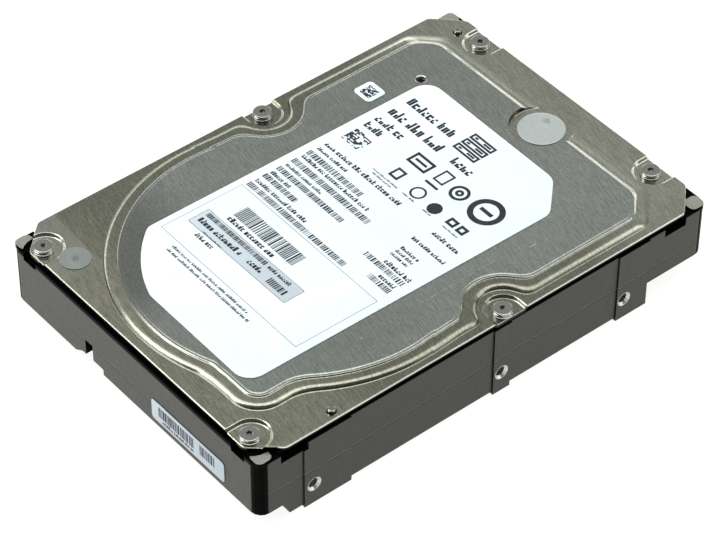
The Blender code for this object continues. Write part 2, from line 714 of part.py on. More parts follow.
def circuit_board():
    """The board under the casting, with a notch for the motor, and what is soldered on it."""
    notch = [math.radians(angle) for angle in range(164, 9, -11)]
    front = [polar(SPINDLE, 20.0, angle) for angle in notch]
    outline = [(42.8, BOARD_FRONT_Y), (42.8, 71.5), (-42.8, 71.5), (-42.8, BOARD_FRONT_Y), *front]
    holes = [[polar(place, 1.3, math.radians(a)) for a in range(0, 360, 30)] for place in BOARD_SCREWS]
    plate("circuit_board", outline, BOARD_BOTTOM, BOARD_TOP, board_green(), holes=holes)
    foam = material("grey_foam", (0.16, 0.16, 0.17), 0.9, 0.0)
    around = [[polar(place, 3.4, math.radians(a)) for a in range(0, 360, 30)] for place in BOARD_SCREWS]
    sheet = rectangle((-42.0, 3.0), (42.0, 62.0), 2.0, 30.0)
    plate("board_insulator", sheet, 5.35, 5.9, foam, holes=(around[2], around[3]))
    chips = (
        ("controller_chip", (5.0, 26.0), 14.0, 14.0, 1.2),
        ("memory_chip", (24.0, 24.0), 11.0, 8.0, 1.0),
        ("motor_driver_chip", (-14.0, 14.0), 9.0, 9.0, 1.0),
    )
    for name, (x, y), width, depth, height in chips:
        low = (x - width / 2, y - depth / 2, BOARD_TOP + FILM)
        high = (x + width / 2, y + depth / 2, BOARD_TOP + FILM + height)
        box(name, low, high, black_plastic())
    for number, place in enumerate(BOARD_SCREWS, 1):
        board_screw(f"board_screw_{number}", place)


def board_screw(name, place):
    """A pan-head screw that holds the board from below."""
    floor = BOARD_BOTTOM - FILM
    profile = [(0.0, 6.2), (0.5, 6.2), (0.5, floor), (2.2, floor), (2.2, floor - 0.7)]
    profile += [(1.8, floor - 1.1), (0.0, floor - 1.1)]
    turned(name, profile, place, nickel(), 12)


def interface_connector():
    """The combined signal and power plug: a housing with two mouths, each round an L-shaped tongue."""
    x0, x1, y0, y1, z0, z1 = -0.3, 41.7, 65.6, 73.3, 3.9, 8.9
    plug = box("interface_connector", (x0, y0, z0), (x1, y1, z1), black_plastic())
    middle = (z0 + z1) / 2
    mouths = (("power", 17.9, 39.9), ("signal", 3.6, 16.0))
    cut(plug, *[box(name, (a, 67.2, z0 + 0.7), (b, 80, z1 - 0.7)) for name, a, b in mouths])
    tongues = []
    for name, a, b in mouths:
        low, high = a + 0.9, b - 0.9
        outline = [(low, middle - 0.6), (high, middle - 0.6), (high, middle + 1.2)]
        outline += [(high - 1.1, middle + 1.2), (high - 1.1, middle + 0.6), (low, middle + 0.6)]
        tongues.append(prism(name + "_tongue", outline, 66.5, 73.1, "Y"))
    join(plug, *tongues)
    block = box("jumper_pin_block", (-13.0, 66.0, 3.9), (-3.6, 70.0, 8.9), black_plastic())
    pins = []
    for column in range(4):
        for row in range(2):
            x, z = -11.3 + 2.0 * column, 5.4 + 2.0 * row
            pins.append(box("pin", (x - 0.25, 69.0, z - 0.25), (x + 0.25, 73.2, z + 0.25)))
    join(block, *pins)


# ---------------------------------------------------------------- spindle motor and platters


def spindle_motor():
    """The fixed half of the motor: flange, stator and shaft."""
    profile = [(3.0, 12.0), (5.0, 12.0), (5.0, 8.6), (13.0, 8.6), (13.7, 8.0), (13.7, 5.3)]
    profile += [(6.0, 5.3), (6.0, 6.4), (3.0, 6.4)]
    turned("motor_flange", profile, SPINDLE, aluminium())
    stator = [polar(SPINDLE, 6.9 + 2.8 * (k % 4 in (1, 2)), math.radians(10 * k)) for k in range(36)]
    hole = [polar(SPINDLE, 5.3, math.radians(20 * k)) for k in range(18)]
    plate("motor_stator", stator, 9.4, 12.2, copper(), holes=(hole,))
    shaft = [(0.0, 19.0), (1.5, 19.0), (1.5, 23.8), (2.3, 23.8), (2.6, 23.5), (2.6, 6.7), (0.0, 6.7)]
    turned("spindle_shaft", shaft, SPINDLE, bright_steel(), 20)


def disk_pack():
    """What spins: hub, rotor magnet, two platters, the spacer between them and the clamp."""
    profile = [(3.0, 19.4), (12.3, 19.4), (12.3, 13.9), (17.2, 13.9), (17.2, 12.9), (15.4, 12.9)]
    profile += [(15.4, 9.2), (12.2, 9.2), (12.2, 12.7), (3.0, 12.7)]
    turned("spindle_hub", profile, SPINDLE, aluminium())
    ring = [(10.5, 12.3), (11.9, 12.3), (11.9, 9.3), (10.5, 9.3)]
    turned("rotor_magnet", ring, SPINDLE, material("magnet", (0.2, 0.2, 0.2), 0.5, 0.6))
    for name, z in (("platter_lower", LOWER_PLATTER_Z), ("platter_upper", UPPER_PLATTER_Z)):
        top = z + PLATTER_THICKNESS
        disc = [(PLATTER_BORE, top), (PLATTER_RADIUS, top), (PLATTER_RADIUS, z), (PLATTER_BORE, z)]
        turned(name, disc, SPINDLE, mirror_platter(), 54)
    low = LOWER_PLATTER_Z + PLATTER_THICKNESS + FILM
    high = UPPER_PLATTER_Z - FILM
    turned("platter_spacer", [(12.6, high), (16.3, high), (16.3, low), (12.6, low)], SPINDLE, aluminium())
    seat = UPPER_PLATTER_Z + PLATTER_THICKNESS + FILM
    clamp = [(4.4, 20.5), (9.0, 20.5), (10.5, 21.0), (14.6, 21.0), (15.8, 20.4), (15.8, seat), (4.4, seat)]
    turned("disk_clamp", clamp, SPINDLE, bright_steel())


# ---------------------------------------------------------------- actuator


def from_pivot(reach, degrees, aside=0.0):
    """A point at a reach from the pivot, turned from the parked arm's direction and moved aside."""
    x, y = polar(PIVOT, reach, PARK_ANGLE + math.radians(degrees))
    across = PARK_ANGLE + math.radians(degrees + 90)
    return x + aside * math.cos(across), y + aside * math.sin(across)


def actuator():
    """What swings: the arm block, its bearing sleeve, the coil and the four head suspensions."""
    tail = 180.0
    hub = [polar(PIVOT, ARM_HUB_RADIUS, math.radians(15 * k)) for k in range(24)]
    block = plate("arm_block", hub, 11.0, 22.8, aluminium())
    arm = [from_pivot(4.0, 0, -7.6), from_pivot(16.0, 0, -6.2), from_pivot(ARM_REACH, 0, -2.4)]
    arm += [from_pivot(ARM_REACH, 0, 2.4), from_pivot(16.0, 0, 6.2), from_pivot(4.0, 0, 7.6)]
    arms = [plate("arm", arm, z, z + ARM_THICKNESS) for z in ARM_LEVELS]
    join(block, *arms)
    fork = [from_pivot(4.0, tail, 6.4), from_pivot(11.0, tail, 6.9), from_pivot(24.0, tail + 25.2)]
    fork += [from_pivot(24.2, tail + 23.0), from_pivot(11.8, tail, 5.2)]
    fork += [from_pivot(11.8, tail, -5.2), from_pivot(24.2, tail - 23.0)]
    fork += [from_pivot(24.0, tail - 25.2), from_pivot(11.0, tail, -6.9), from_pivot(4.0, tail, -6.4)]
    join(block, plate("fork", fork, COIL_Z[0] + 0.2, COIL_Z[1] - 0.2))
    cut(block, cylinder("bore", 5.1, 5, 30, PIVOT, sides=24))
    sleeve = [(3.3, 22.9), (4.8, 22.9), (4.8, 10.6), (3.3, 10.6)]
    turned("pivot_bearing", sleeve, PIVOT, bright_steel(), 24)
    outline = sector(PIVOT, 13.2, 25.6, 171.9 - 21.0, 171.9 + 21.0, 6.0)
    window = sector(PIVOT, 16.2, 22.6, 171.9 - 11.5, 171.9 + 11.5, 6.0)
    plate("voice_coil", outline, COIL_Z[0], COIL_Z[1], copper(), holes=(window,))
    heads = ((12.5, 1), (15.85, -1), (17.45, 1), (20.95, -1))
    for number, (z, up) in enumerate(heads, 1):
        head_suspension(f"head_suspension_{number}", z, up)


def head_suspension(name, z, up):
    """A thin load beam that ends in the slider and the tab that rides on the ramp; up is the slider's side."""
    thickness = 0.3
    beam = [from_pivot(26.0, 0, -2.0), from_pivot(31.5, 0, -2.0), from_pivot(45.0, 0, -0.9)]
    beam += [from_pivot(49.6, 0, -0.4), from_pivot(49.6, 0, 0.4), from_pivot(45.0, 0, 0.9)]
    beam += [from_pivot(31.5, 0, 2.0), from_pivot(26.0, 0, 2.0)]
    suspension = plate(name, beam, z, z + thickness, bright_steel())
    slider = [from_pivot(45.7, 0, -0.5), from_pivot(47.0, 0, -0.5), from_pivot(47.0, 0, 0.5), from_pivot(45.7, 0, 0.5)]
    low, high = (z + 0.1, z + 0.7) if up > 0 else (z - 0.3, z + 0.2)
    join(suspension, plate(name + "_slider", slider, low, high))


def voice_coil_motor():
    """The fixed half of the actuator's motor: two yokes and two magnets, with the coil between them."""
    tapped = [polar(YOKE_SCREW, 1.2, math.radians(36 * k)) for k in range(10)]
    levels = (("yoke_lower", 9.4, 12.0, ()), ("yoke_upper", 21.0, 23.4, (tapped,)))
    for name, low, high, holes in levels:
        outline = sector(PIVOT, 10.2, 26.3, 108.0, 196.5, 6.0)
        plate(name, outline, low, high, nickel(), holes=holes)
    magnet = sector(PIVOT, 13.0, 25.0, 114.0, 190.0, 6.0)
    finish = material("magnet_plate", (0.55, 0.55, 0.54), 0.3, 0.9)
    plate("magnet_lower", magnet, 12.1, 14.8, finish)
    plate("magnet_upper", magnet, 18.6, 20.9, finish)


def cavity_fittings():
    """The small fixed pieces round the platters and the actuator."""
    shaft = [(0.0, 19.0), (1.5, 19.0), (1.5, 23.8), (2.7, 23.8), (3.0, 23.5), (3.0, 10.3), (5.0, 10.3)]
    shaft += [(5.0, 8.5), (0.0, 8.5)]
    turned("pivot_shaft", shaft, PIVOT, bright_steel(), 20)
    ramp = plate("load_ramp", sector(PIVOT, 47.9, 54.0, -12.0, 0.5, 4.0), 8.5, 22.4, ivory_plastic())
    slots = [sector(PIVOT, 40.0, 50.3, -14.0, 3.0, 4.0)] * 4
    levels = (12.65, 16.0, 17.6, 21.1)
    cut(ramp, *[plate("slot", slot, z - 0.6, z + 0.6) for slot, z in zip(slots, levels)])
    bracket = box("flex_bracket", (6.0, 40.0, 8.5), (30.0, 52.0, 11.5), black_plastic())
    join(bracket, box("socket", (9.0, 42.0, 11.0), (27.0, 46.0, 14.5)))
    flex_circuit()
    fibre = material("filter_fibre", (0.8, 0.8, 0.76), 0.95, 0.0)
    box("breather_filter", (33.0, 46.5, 8.5), (41.0, 53.5, 13.0), fibre)
    box("recirculation_filter", (37.5, 22.0, 8.5), (45.0, 25.0, 20.5), fibre)
    stop = material("stop_rubber", (0.04, 0.04, 0.04), 0.8, 0.0)
    cylinder("crash_stop", 1.5, 8.5, 19.5, polar(PIVOT, 22.0, math.radians(204.5)), stop)


def ivory_plastic():
    return material("ivory_plastic", (0.72, 0.68, 0.58), 0.45, 0.0)


def flex_circuit():
    """The flexible ribbon, standing on edge, that loops from the bracket towards the arm block."""
    finish = material("flex_film", (0.55, 0.30, 0.08), 0.3, 0.0)
    count = 16
    middle = []
    for k in range(count + 1):
        t = k / count
        x = -12.5 * (1 - t) + 8.5 * t + 9.0 * math.sin(math.pi * t) * (1 - t)
        y = 39.5 * (1 - t) + 38.8 * t + 6.0 * math.sin(math.pi * t)
        middle.append((x, y))
    outer = []
    inner = []
    for k, (x, y) in enumerate(middle):
        ahead = middle[min(k + 1, count)]
        behind = middle[max(k - 1, 0)]
        length = math.hypot(ahead[0] - behind[0], ahead[1] - behind[1])
        nx, ny = (behind[1] - ahead[1]) / length * 0.12, (ahead[0] - behind[0]) / length * 0.12
        outer.append((x + nx, y + ny))
        inner.append((x - nx, y - ny))
    plate("flex_circuit", outer + inner[::-1], 12.2, 20.0, finish)


def latch():
    """The lever that holds the parked coil, and the pin it turns on."""
    pin = LATCH_PIN
    cylinder("latch_pin", 0.9, 8.5, 18.6, pin, bright_steel(), sides=12)
    hub = [polar(pin, 2.3, math.radians(24 * k)) for k in range(15)]
    lever = plate("actuator_latch", hub, 14.6, 17.6, ivory_plastic())
    pointing = math.radians(62.0)
    corners = ((1.6, -1.7), (6.2, -0.8), (7.3, -1.4), (7.5, 0.2), (6.4, 0.9), (1.6, 1.7))
    cosine, sine = math.cos(pointing), math.sin(pointing)
    arm = [(pin[0] + u * cosine - v * sine, pin[1] + u * sine + v * cosine) for u, v in corners]
    join(lever, plate("lever_arm", arm, 14.9, 17.3))
    cut(lever, cylinder("lever_bore", 1.2, 10, 20, pin, sides=12))


def build():
    clear_scene()
    base_casting()
    top_cover()
    cover_gasket()
    fasteners()
    labels()
    circuit_board()
    interface_connector()
    spindle_motor()
    disk_pack()
    actuator()
    voice_coil_motor()
    cavity_fittings()
    latch()


build()
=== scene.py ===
"""Looks of the 3.5-inch hard disk drive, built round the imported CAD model.

The constants are in millimetres in the model's own frame, and MM turns them into Blender's metres: +X runs
across the width, +Y along the length to the connector end, and +Z is up. Places come from the CAD nodes'
boxes where a node has one.
"""

import json
import math
import random

import bmesh
import bpy
from mathutils import Matrix, Vector
from mathutils.geometry import delaunay_2d_cdt


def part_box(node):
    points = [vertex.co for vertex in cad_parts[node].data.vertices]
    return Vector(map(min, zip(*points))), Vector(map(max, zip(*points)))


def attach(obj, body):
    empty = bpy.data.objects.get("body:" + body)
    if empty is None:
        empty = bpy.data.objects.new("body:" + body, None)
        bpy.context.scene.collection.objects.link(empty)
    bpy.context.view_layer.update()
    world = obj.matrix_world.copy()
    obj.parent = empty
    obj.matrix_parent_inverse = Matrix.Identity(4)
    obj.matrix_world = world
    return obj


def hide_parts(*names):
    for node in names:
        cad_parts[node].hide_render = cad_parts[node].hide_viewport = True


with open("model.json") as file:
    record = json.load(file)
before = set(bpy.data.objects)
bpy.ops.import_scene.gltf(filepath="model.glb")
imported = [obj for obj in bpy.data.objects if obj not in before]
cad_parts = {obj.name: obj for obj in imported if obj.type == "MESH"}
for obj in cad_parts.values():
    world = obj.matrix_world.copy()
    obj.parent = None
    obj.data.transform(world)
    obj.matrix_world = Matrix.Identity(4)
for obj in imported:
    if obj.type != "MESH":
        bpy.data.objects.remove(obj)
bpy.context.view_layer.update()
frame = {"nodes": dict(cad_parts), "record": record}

MM = 0.001


def span(node):
    """The lowest and highest corners of a CAD node, in millimetres."""
    low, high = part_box(node)
    return [value / MM for value in low], [value / MM for value in high]


def centre(node):
    """The middle of a CAD node in plan."""
    low, high = span(node)
    return (low[0] + high[0]) / 2, (low[1] + high[1]) / 2


def top_of(node):
    return span(node)[1][2]


def numbered(stem, count):
    return [f"{stem}_{number}" for number in range(1, count + 1)]


# Driving places, read from the frame.
SPINDLE = centre("platter_upper")
PIVOT = centre("pivot_shaft")
LARGE_SEAL = centre("large_round_seal")
SMALL_SEAL = centre("small_round_seal")
YOKE_SCREW = centre("yoke_screw")
COVER_SCREWS = [centre(name) for name in numbered("cover_screw", 6)]
POCKET_SHIFT = 0.5
POCKET_PLACES = [(x, y + POCKET_SHIFT) for x, y in COVER_SCREWS]
LOCATING_PINS = [centre(name) for name in numbered("locating_pin", 2)]

# The pressed cover: its two rear corners follow the photo, the rest is as in the CAD.
SHEET = 0.8
FLANGE_TOP = 24.5
DISC_WALL_RADIUS = 48.5
CAVITY_SIDE_X = 48.0
CAVITY_REAR_Y = 63.2
ROOM_START = SPINDLE[1] + 4.0
LEFT_CHAMFER_SUM = 104.0
RIGHT_CHAMFER_SUM = 102.4
LOBE_MIDDLE = (26.25, -52.7)
LOBE_HALF = (12.25, 12.7)
LOBE_RADIUS = 8.0
MID_BOSS_RADIUS = 7.0
CAVITY_BLEND = 1.6
WELL_BLEND = 1.5
LOBE_BLEND = 2.5
BOSS_BLEND = 3.5
FLANGE_SIDE = 50.5
FLANGE_FRONT = -72.4
FLANGE_REAR = 72.5
CORNER_CUT = 9.0

# Where the bead's foot begins to flatten into the rear's long slope, and over what length.
REAR_SLOPE_START = 54.0
REAR_SLOPE_BAND = 5.0

# The holes in the cover.
SCREW_HOLE = 1.6
PIN_HOLE = 1.28
YOKE_HOLE = 1.3
LARGE_VENT = 4.2
SMALL_VENT = 1.2

# The casting: its tapped holes, the height where its mould parted and the skins of its long and short walls.
SIDE_HOLES_Y = (-56.6, 3.39, 45.0)
SIDE_HOLE_Z = 6.35
BOTTOM_HOLES_Y = (-43.98, -12.23, 32.22)
BOTTOM_HOLE_X = 47.63
HOLE_MOUTH = 2.10
PARTING_Z = (11.1, 11.8)
SIDE_SKIN = (50.32, 50.38)
END_SKIN = (73.22, 73.28)

# The labels, whose main one is stuck on with a slight tilt.
LABEL_TILT = math.radians(-0.65)
LABEL_BOTTOM = span("main_label")[0][2]
LABEL_TOP = top_of("main_label")
STRIP_TOP = top_of("strip_label")
PRINT = 0.012
PRINT_ROOT = 0.02


# ---- node helpers


def bare(value):
    """The socket that a Value holds, or the value itself."""
    return value.socket if isinstance(value, Value) else value


class Value:
    """A number at each point of a surface: a node's output that takes part in sums."""

    def __init__(self, nodes, socket):
        self.nodes = nodes
        self.socket = socket

    def math(self, operation, other=0.0):
        return self.nodes.math(operation, self, other)

    def __add__(self, other):
        return self.math("ADD", other)

    def __sub__(self, other):
        return self.math("SUBTRACT", other)

    def __rsub__(self, other):
        return self.nodes.math("SUBTRACT", other, self)

    def __mul__(self, other):
        return self.math("MULTIPLY", other)

    def __abs__(self):
        return self.math("ABSOLUTE")

    def larger(self, other):
        return self.math("MAXIMUM", other)

    def scaled(self, low, high, to_low=0.0, to_high=1.0, **settings):
        """Maps low..high in a straight line to to_low..to_high, clamped."""
        inputs = {"Value": self, "From Min": low, "From Max": high, "To Min": to_low, "To Max": to_high}
        return Value(self.nodes, self.nodes.add("ShaderNodeMapRange", inputs, **settings).outputs["Result"])

    def eased(self, low, high, to_low=0.0, to_high=1.0):
        """Maps low..high smoothly to to_low..to_high."""
        return self.scaled(low, high, to_low, to_high, interpolation_type="SMOOTHSTEP")

    def within(self, start, full, fading, end):
        """1 from full to fading, eased to 0 at start and end."""
        return self.eased(start, full) * self.eased(end, fading)


class Nodes:
    """A node tree, and short ways to fill it."""

    def __init__(self, tree):
        self.tree = tree

    def put(self, node, inputs):
        """Links a socket or a Value to an input, or sets the input."""
        for name, value in inputs.items():
            value = bare(value)
            if isinstance(value, bpy.types.NodeSocket):
                self.tree.links.new(value, node.inputs[name])
            else:
                node.inputs[name].default_value = value

    def add(self, kind, inputs=None, **settings):
        node = self.tree.nodes.new(kind)
        for name, value in settings.items():
            setattr(node, name, value)
        self.put(node, inputs or {})
        return node

    def math(self, operation, a, b=0.0):
        return Value(self, self.add("ShaderNodeMath", {0: a, 1: b}, operation=operation).outputs[0])


class Finish(Nodes):
    """A Principled material and the nodes that drive it; its coordinates are in millimetres."""

    def __init__(self, name, colour, roughness, metallic=0.0):
        self.material = bpy.data.materials.new(name)
        self.material.use_nodes = True
        super().__init__(self.material.node_tree)
        self.shader = self.tree.nodes["Principled BSDF"]
        self.put(self.shader, {"Base Color": (*colour, 1.0), "Roughness": roughness, "Metallic": metallic})
        place = self.add("ShaderNodeTexCoord")
        scale = self.add("ShaderNodeVectorMath", {0: place.outputs["Object"]}, operation="SCALE")
        scale.inputs["Scale"].default_value = 1 / MM
        self.place = scale.outputs[0]

    def noise(self, stretch, detail=3.0, roughness=0.55, place=None):
        """Noise whose features have about the given number per millimetre along x, y and z."""
        stretch = stretch if isinstance(stretch, tuple) else (stretch,) * 3
        mapping = self.add("ShaderNodeMapping", {"Vector": place or self.place, "Scale": stretch})
        inputs = {"Vector": mapping.outputs[0], "Scale": 1.0, "Detail": detail, "Roughness": roughness}
        return Value(self, self.add("ShaderNodeTexNoise", inputs).outputs["Fac"])

    def mix(self, factor, a, b):
        """A colour between a and b, which are colours or sockets."""
        mixer = self.add("ShaderNodeMix", data_type="RGBA")
        a, b = ((*colour, 1.0) if isinstance(colour, tuple) else colour for colour in (a, b))
        self.put(mixer, {0: factor, 6: a, 7: b})
        return mixer.outputs[2]

    def layered(self, colour, *layers):
        """A colour under layers, each a (factor, colour), laid one by one."""
        for factor, layer in layers:
            colour = self.mix(factor, colour, layer)
        return colour

    def axis(self, name):
        split = self.add("ShaderNodeSeparateXYZ", {0: self.place})
        return Value(self, split.outputs[name])

    def upright(self):
        """1 on faces that stand upright, 0 on those that lie flat."""
        normal = self.add("ShaderNodeTexCoord").outputs["Normal"]
        split = self.add("ShaderNodeSeparateXYZ", {0: normal})
        return abs(Value(self, split.outputs["Z"])).eased(0.5, 0.3)

    def away_from(self, middle):
        """Distance from an upright axis through a place."""
        east = self.axis("X") - middle[0]
        north = self.axis("Y") - middle[1]
        return (east * east + north * north).math("SQRT")

    def set(self, **inputs):
        """Sets or links the shader's inputs, named with underscores for spaces."""
        self.put(self.shader, {name.replace("_", " "): value for name, value in inputs.items()})

    def bump(self, height, depth, strength=1.0):
        """Bumps the surface; depth is in millimetres."""
        inputs = {"Height": height, "Distance": depth * MM, "Strength": strength}
        self.set(Normal=self.add("ShaderNodeBump", inputs).outputs["Normal"])


# ---- materials


def cover_steel():
    """Brushed stainless with a fine grain and a speckle, warmer on the flange than in the middle."""
    finish = Finish("cover_steel", (0.4, 0.4, 0.36), 0.3, 1.0)
    turned = finish.add("ShaderNodeVectorRotate", {"Vector": finish.place, "Angle": math.radians(11.0)})
    grain = finish.noise((0.28, 2.3, 1.0), 5.0, 0.7, turned.outputs[0])
    fine = finish.noise((0.9, 8.0, 1.0), 3.0, 0.7, turned.outputs[0])
    cloud = finish.noise(0.05, 3.0)
    speckle = finish.noise((2.6, 4.0, 2.6), 3.0, 0.75)
    height = finish.axis("Z")
    flange, middle = cover_tones(finish, grain.scaled(0.3, 0.7))
    cut_edge = height.eased(FLANGE_TOP + 0.02, FLANGE_TOP - 0.02) * finish.upright()
    colour = finish.layered(
        flange,
        (height.eased(25.5, 25.8), middle),
        (cloud.scaled(0.35, 0.7, 0.0, 0.22), (0.2, 0.21, 0.19)),
        (speckle.scaled(0.50, 0.75, 0.0, 0.36), (0.75, 0.75, 0.69)),
        (speckle.scaled(0.48, 0.25, 0.0, 0.5), (0.10, 0.105, 0.09)),
        (bright_patch(finish, height), (0.52, 0.54, 0.49)),
        # The sheet's cut rim: bright metal along its upper half and painted shadow along its lower half.
        (cut_edge, finish.mix(height.eased(24.14, 24.04), (0.85, 0.85, 0.80), (0.01, 0.01, 0.008))),
        (bend_shade(finish, height), (0.03, 0.03, 0.026)),
        (recess_shade(finish, height), (0.03, 0.03, 0.026)),
        (scratches(finish), (0.95, 0.95, 0.92)),
    )
    finish.set(Base_Color=colour, Roughness=fine.scaled(0.3, 0.7, 0.16, 0.27), Anisotropic=0.4)
    finish.bump(grain + fine * 0.6, 0.006, 0.6)
    return finish.material


def cover_tones(finish, streaks):
    """The flange's colour, lighter at the front corner and towards the rear as painted reflection, and the
    raised middle's, with painted shade at its front left where the lamp lights it.
    """
    x, y = finish.axis("X"), finish.axis("Y")
    front = finish.mix(streaks, (0.155, 0.16, 0.122), (0.315, 0.32, 0.245))
    rear = finish.mix(streaks, (0.28, 0.29, 0.24), (0.54, 0.55, 0.46))
    corner = finish.mix(streaks, (0.235, 0.24, 0.185), (0.47, 0.48, 0.37))
    # Painted reflection: the flange is lighter at the front corner and towards the rear.
    flange = finish.mix((y - x * 0.25).eased(-38.0, -66.0), front, corner)
    flange = finish.mix(y.eased(30.0, 62.0), flange, rear)
    middle = finish.mix(streaks, (0.27, 0.30, 0.275), (0.49, 0.525, 0.485))
    # Painted shade on the middle's front left, where the lamp lights it.
    lit = y.eased(-28.0, -50.0) * x.eased(4.0, -16.0)
    return flange, finish.mix(lit * 0.85, middle, (0.18, 0.195, 0.18))


def bend_shade(finish, height):
    """How much painted shade lies in the two bends at the foot of the bead and of its inner step, fainter
    towards the rear.
    """
    foot = height.within(24.53, 24.60, 24.72, 24.84)
    step = height.within(25.45, 25.49, 25.63, 25.69)
    return foot.larger(step * 0.6) * finish.axis("Y").eased(58.0, 50.0, 0.15, 0.85)


def recess_shade(finish, height):
    """How much painted shade lies on the wall round the large seal."""
    return finish.away_from(LARGE_SEAL).within(8.12, 8.24, 8.64, 8.74) * height.eased(24.60, 24.85, 0.0, 0.85)


# Scratches on the cover: their middle, direction in degrees, length and width.
SCRATCHES = (
    ((36.2, 25.8), 88.0, 2.4, 0.16),
    ((34.3, 2.0), 90.0, 26.0, 0.10),
    ((34.4, -29.0), 72.0, 2.2, 0.18),
    ((35.6, -31.4), 15.0, 1.0, 0.16),
    ((-41.6, -8.0), 100.0, 1.4, 0.14),
)


def scratches(finish):
    """How much of each scratch shows: they fade in and out."""
    found = 0.0
    for (x, y), degrees, length, width in SCRATCHES:
        east = finish.axis("X") - x
        north = finish.axis("Y") - y
        cos, sin = math.cos(math.radians(degrees)), math.sin(math.radians(degrees))
        ahead = abs(east * cos + north * sin).eased(length / 2, length / 2 - 0.3)
        aside = abs(north * cos - east * sin).eased(width / 2 + 0.04, width / 2 - 0.04)
        found = (ahead * aside).larger(found)
    return found * finish.noise(0.9, 2.0).scaled(0.40, 0.60, 0.0, 0.75)


def bright_patch(finish, height):
    """How much of the brighter metal round the small seal shows, up to a sharp edge."""
    x = finish.axis("X")
    edge = finish.axis("Y") + x * 0.05
    return edge.eased(-62.2, -62.6) * x.eased(-25.0, -34.0) * (height.eased(24.8, 24.6) * 0.34)


def hole_mouths(x, y, z):
    """1 on the bare metal in and round the tapped holes, else 0."""
    found = 0.0
    sides = (z - SIDE_HOLE_Z, abs(x).math("GREATER_THAN", 44.0), SIDE_HOLES_Y)
    bottom = (abs(x) - BOTTOM_HOLE_X, z.math("LESS_THAN", 3.8), BOTTOM_HOLES_Y)
    for across, mask, places in (sides, bottom):
        for place in places:
            ahead = y - place
            square = ahead * ahead + across * across
            found = (square.math("LESS_THAN", HOLE_MOUTH**2) * mask).larger(found)
    return found


def casting_black():
    """Glossy black coat over a cast surface, bare where it was machined, with the mould's parting line and
    painted shade.
    """
    finish = Finish("casting_black", (0.02, 0.02, 0.02), 0.3)
    x, y, z = (finish.axis(name) for name in "XYZ")
    cast = finish.noise(2.2, 5.0, 0.65)
    fine = finish.noise(7.0, 4.0, 0.75)
    brushed = finish.noise((2.8, 2.8, 0.22), 4.0, 0.7)
    side = abs(x).eased(*SIDE_SKIN)
    wall = side.larger(abs(y).eased(*END_SKIN))
    # Painted shade, near black and with little sheen: off the flat wall faces at the corners and edges, in
    # the band under the cover's flange and on the steps of the bosses.
    shadow_under_flange = (z - side * 0.75).eased(21.15, 21.45)
    shade = (1.0 - wall).larger(shadow_under_flange).larger(abs(x).within(50.43, 50.47, 50.73, 50.77))
    wobble = z - finish.noise((0.05, 0.35, 0.1), 4.0, 0.7).scaled(0.3, 0.7, *PARTING_Z)
    line = abs(wobble).eased(0.20, 0.06) * wall
    under = abs(wobble + 0.24).eased(0.22, 0.06) * wall
    coat = finish.layered(
        finish.mix(finish.noise(0.10, 3.0), (0.015, 0.017, 0.011), (0.030, 0.032, 0.022)),
        (fine.scaled(0.50, 0.75, 0.0, 0.6), (0.15, 0.155, 0.125)),
        (brushed.scaled(0.5, 0.8, 0.0, 0.35), (0.12, 0.125, 0.10)),
        # Painted shade: the long walls are darker than the end walls.
        (side * 0.35, (0.006, 0.007, 0.004)),
        (line * 0.8, (0.16, 0.165, 0.14)),
        ((under * 0.9).larger(shade), (0.0015, 0.0015, 0.0015)),
    )
    pad = z.eased(22.93, 22.97) * abs(y).eased(67.5, 68.0)
    machined = pad.larger(hole_mouths(x, y, z))
    metal = finish.mix(fine, (0.40, 0.41, 0.38), (0.80, 0.80, 0.77))
    metal = finish.mix(pad, metal, finish.mix(brushed, (0.22, 0.225, 0.20), (0.62, 0.63, 0.57)))
    dark = (shade - machined).larger(under * 0.8)
    sheen = fine.scaled(0.3, 0.7, 0.20, 0.50) * dark.scaled(0.0, 1.0, 1.0, 0.05)
    finish.set(Base_Color=finish.mix(machined, coat, metal), Metallic=machined)
    finish.set(Roughness=cast.scaled(0.3, 0.7, 0.26, 0.42))
    finish.set(Specular_IOR_Level=sheen, Specular_Tint=(1.0, 0.98, 0.90, 1.0))
    finish.bump(cast + fine * 0.5 + line * 3.0, 0.035, 0.7)
    return finish.material


def plated(name, dark, light, roughness, grain=(1.5, 1.5, 1.5)):
    """Bright metal with a slight uneven tone."""
    finish = Finish(name, light, roughness, 1.0)
    tone = finish.noise(grain, 3.0)
    finish.set(Base_Color=finish.mix(tone, dark, light))
    finish.set(Roughness=tone.scaled(0.3, 0.7, roughness * 0.8, roughness * 1.25))
    finish.bump(finish.noise(tuple(4 * value for value in grain), 2.0), 0.006, 0.5)
    return finish.material


def label_stock(name, colour, roughness=0.42):
    """Coated paper with a faint fibre."""
    finish = Finish(name, colour, roughness)
    fibre = finish.noise((3.0, 5.0, 3.0), 4.0, 0.6)
    darker = tuple(0.95 * value for value in colour)
    finish.set(Base_Color=finish.mix(finish.noise(0.1, 2.0).scaled(0.35, 0.65), colour, darker))
    finish.set(Roughness=fibre.scaled(0.3, 0.7, roughness - 0.05, roughness + 0.08))
    finish.bump(fibre, 0.008, 0.35)
    return finish.material


def ink(name, dark, worn):
    """Thermal print, a little uneven."""
    finish = Finish(name, dark, 0.5)
    wear = finish.noise(5.0, 3.0)
    finish.set(Base_Color=finish.mix(wear.scaled(0.5, 0.8, 0.0, 0.7), dark, worn))
    finish.set(Roughness=wear.scaled(0.3, 0.7, 0.42, 0.6), Specular_IOR_Level=0.15)
    return finish.material


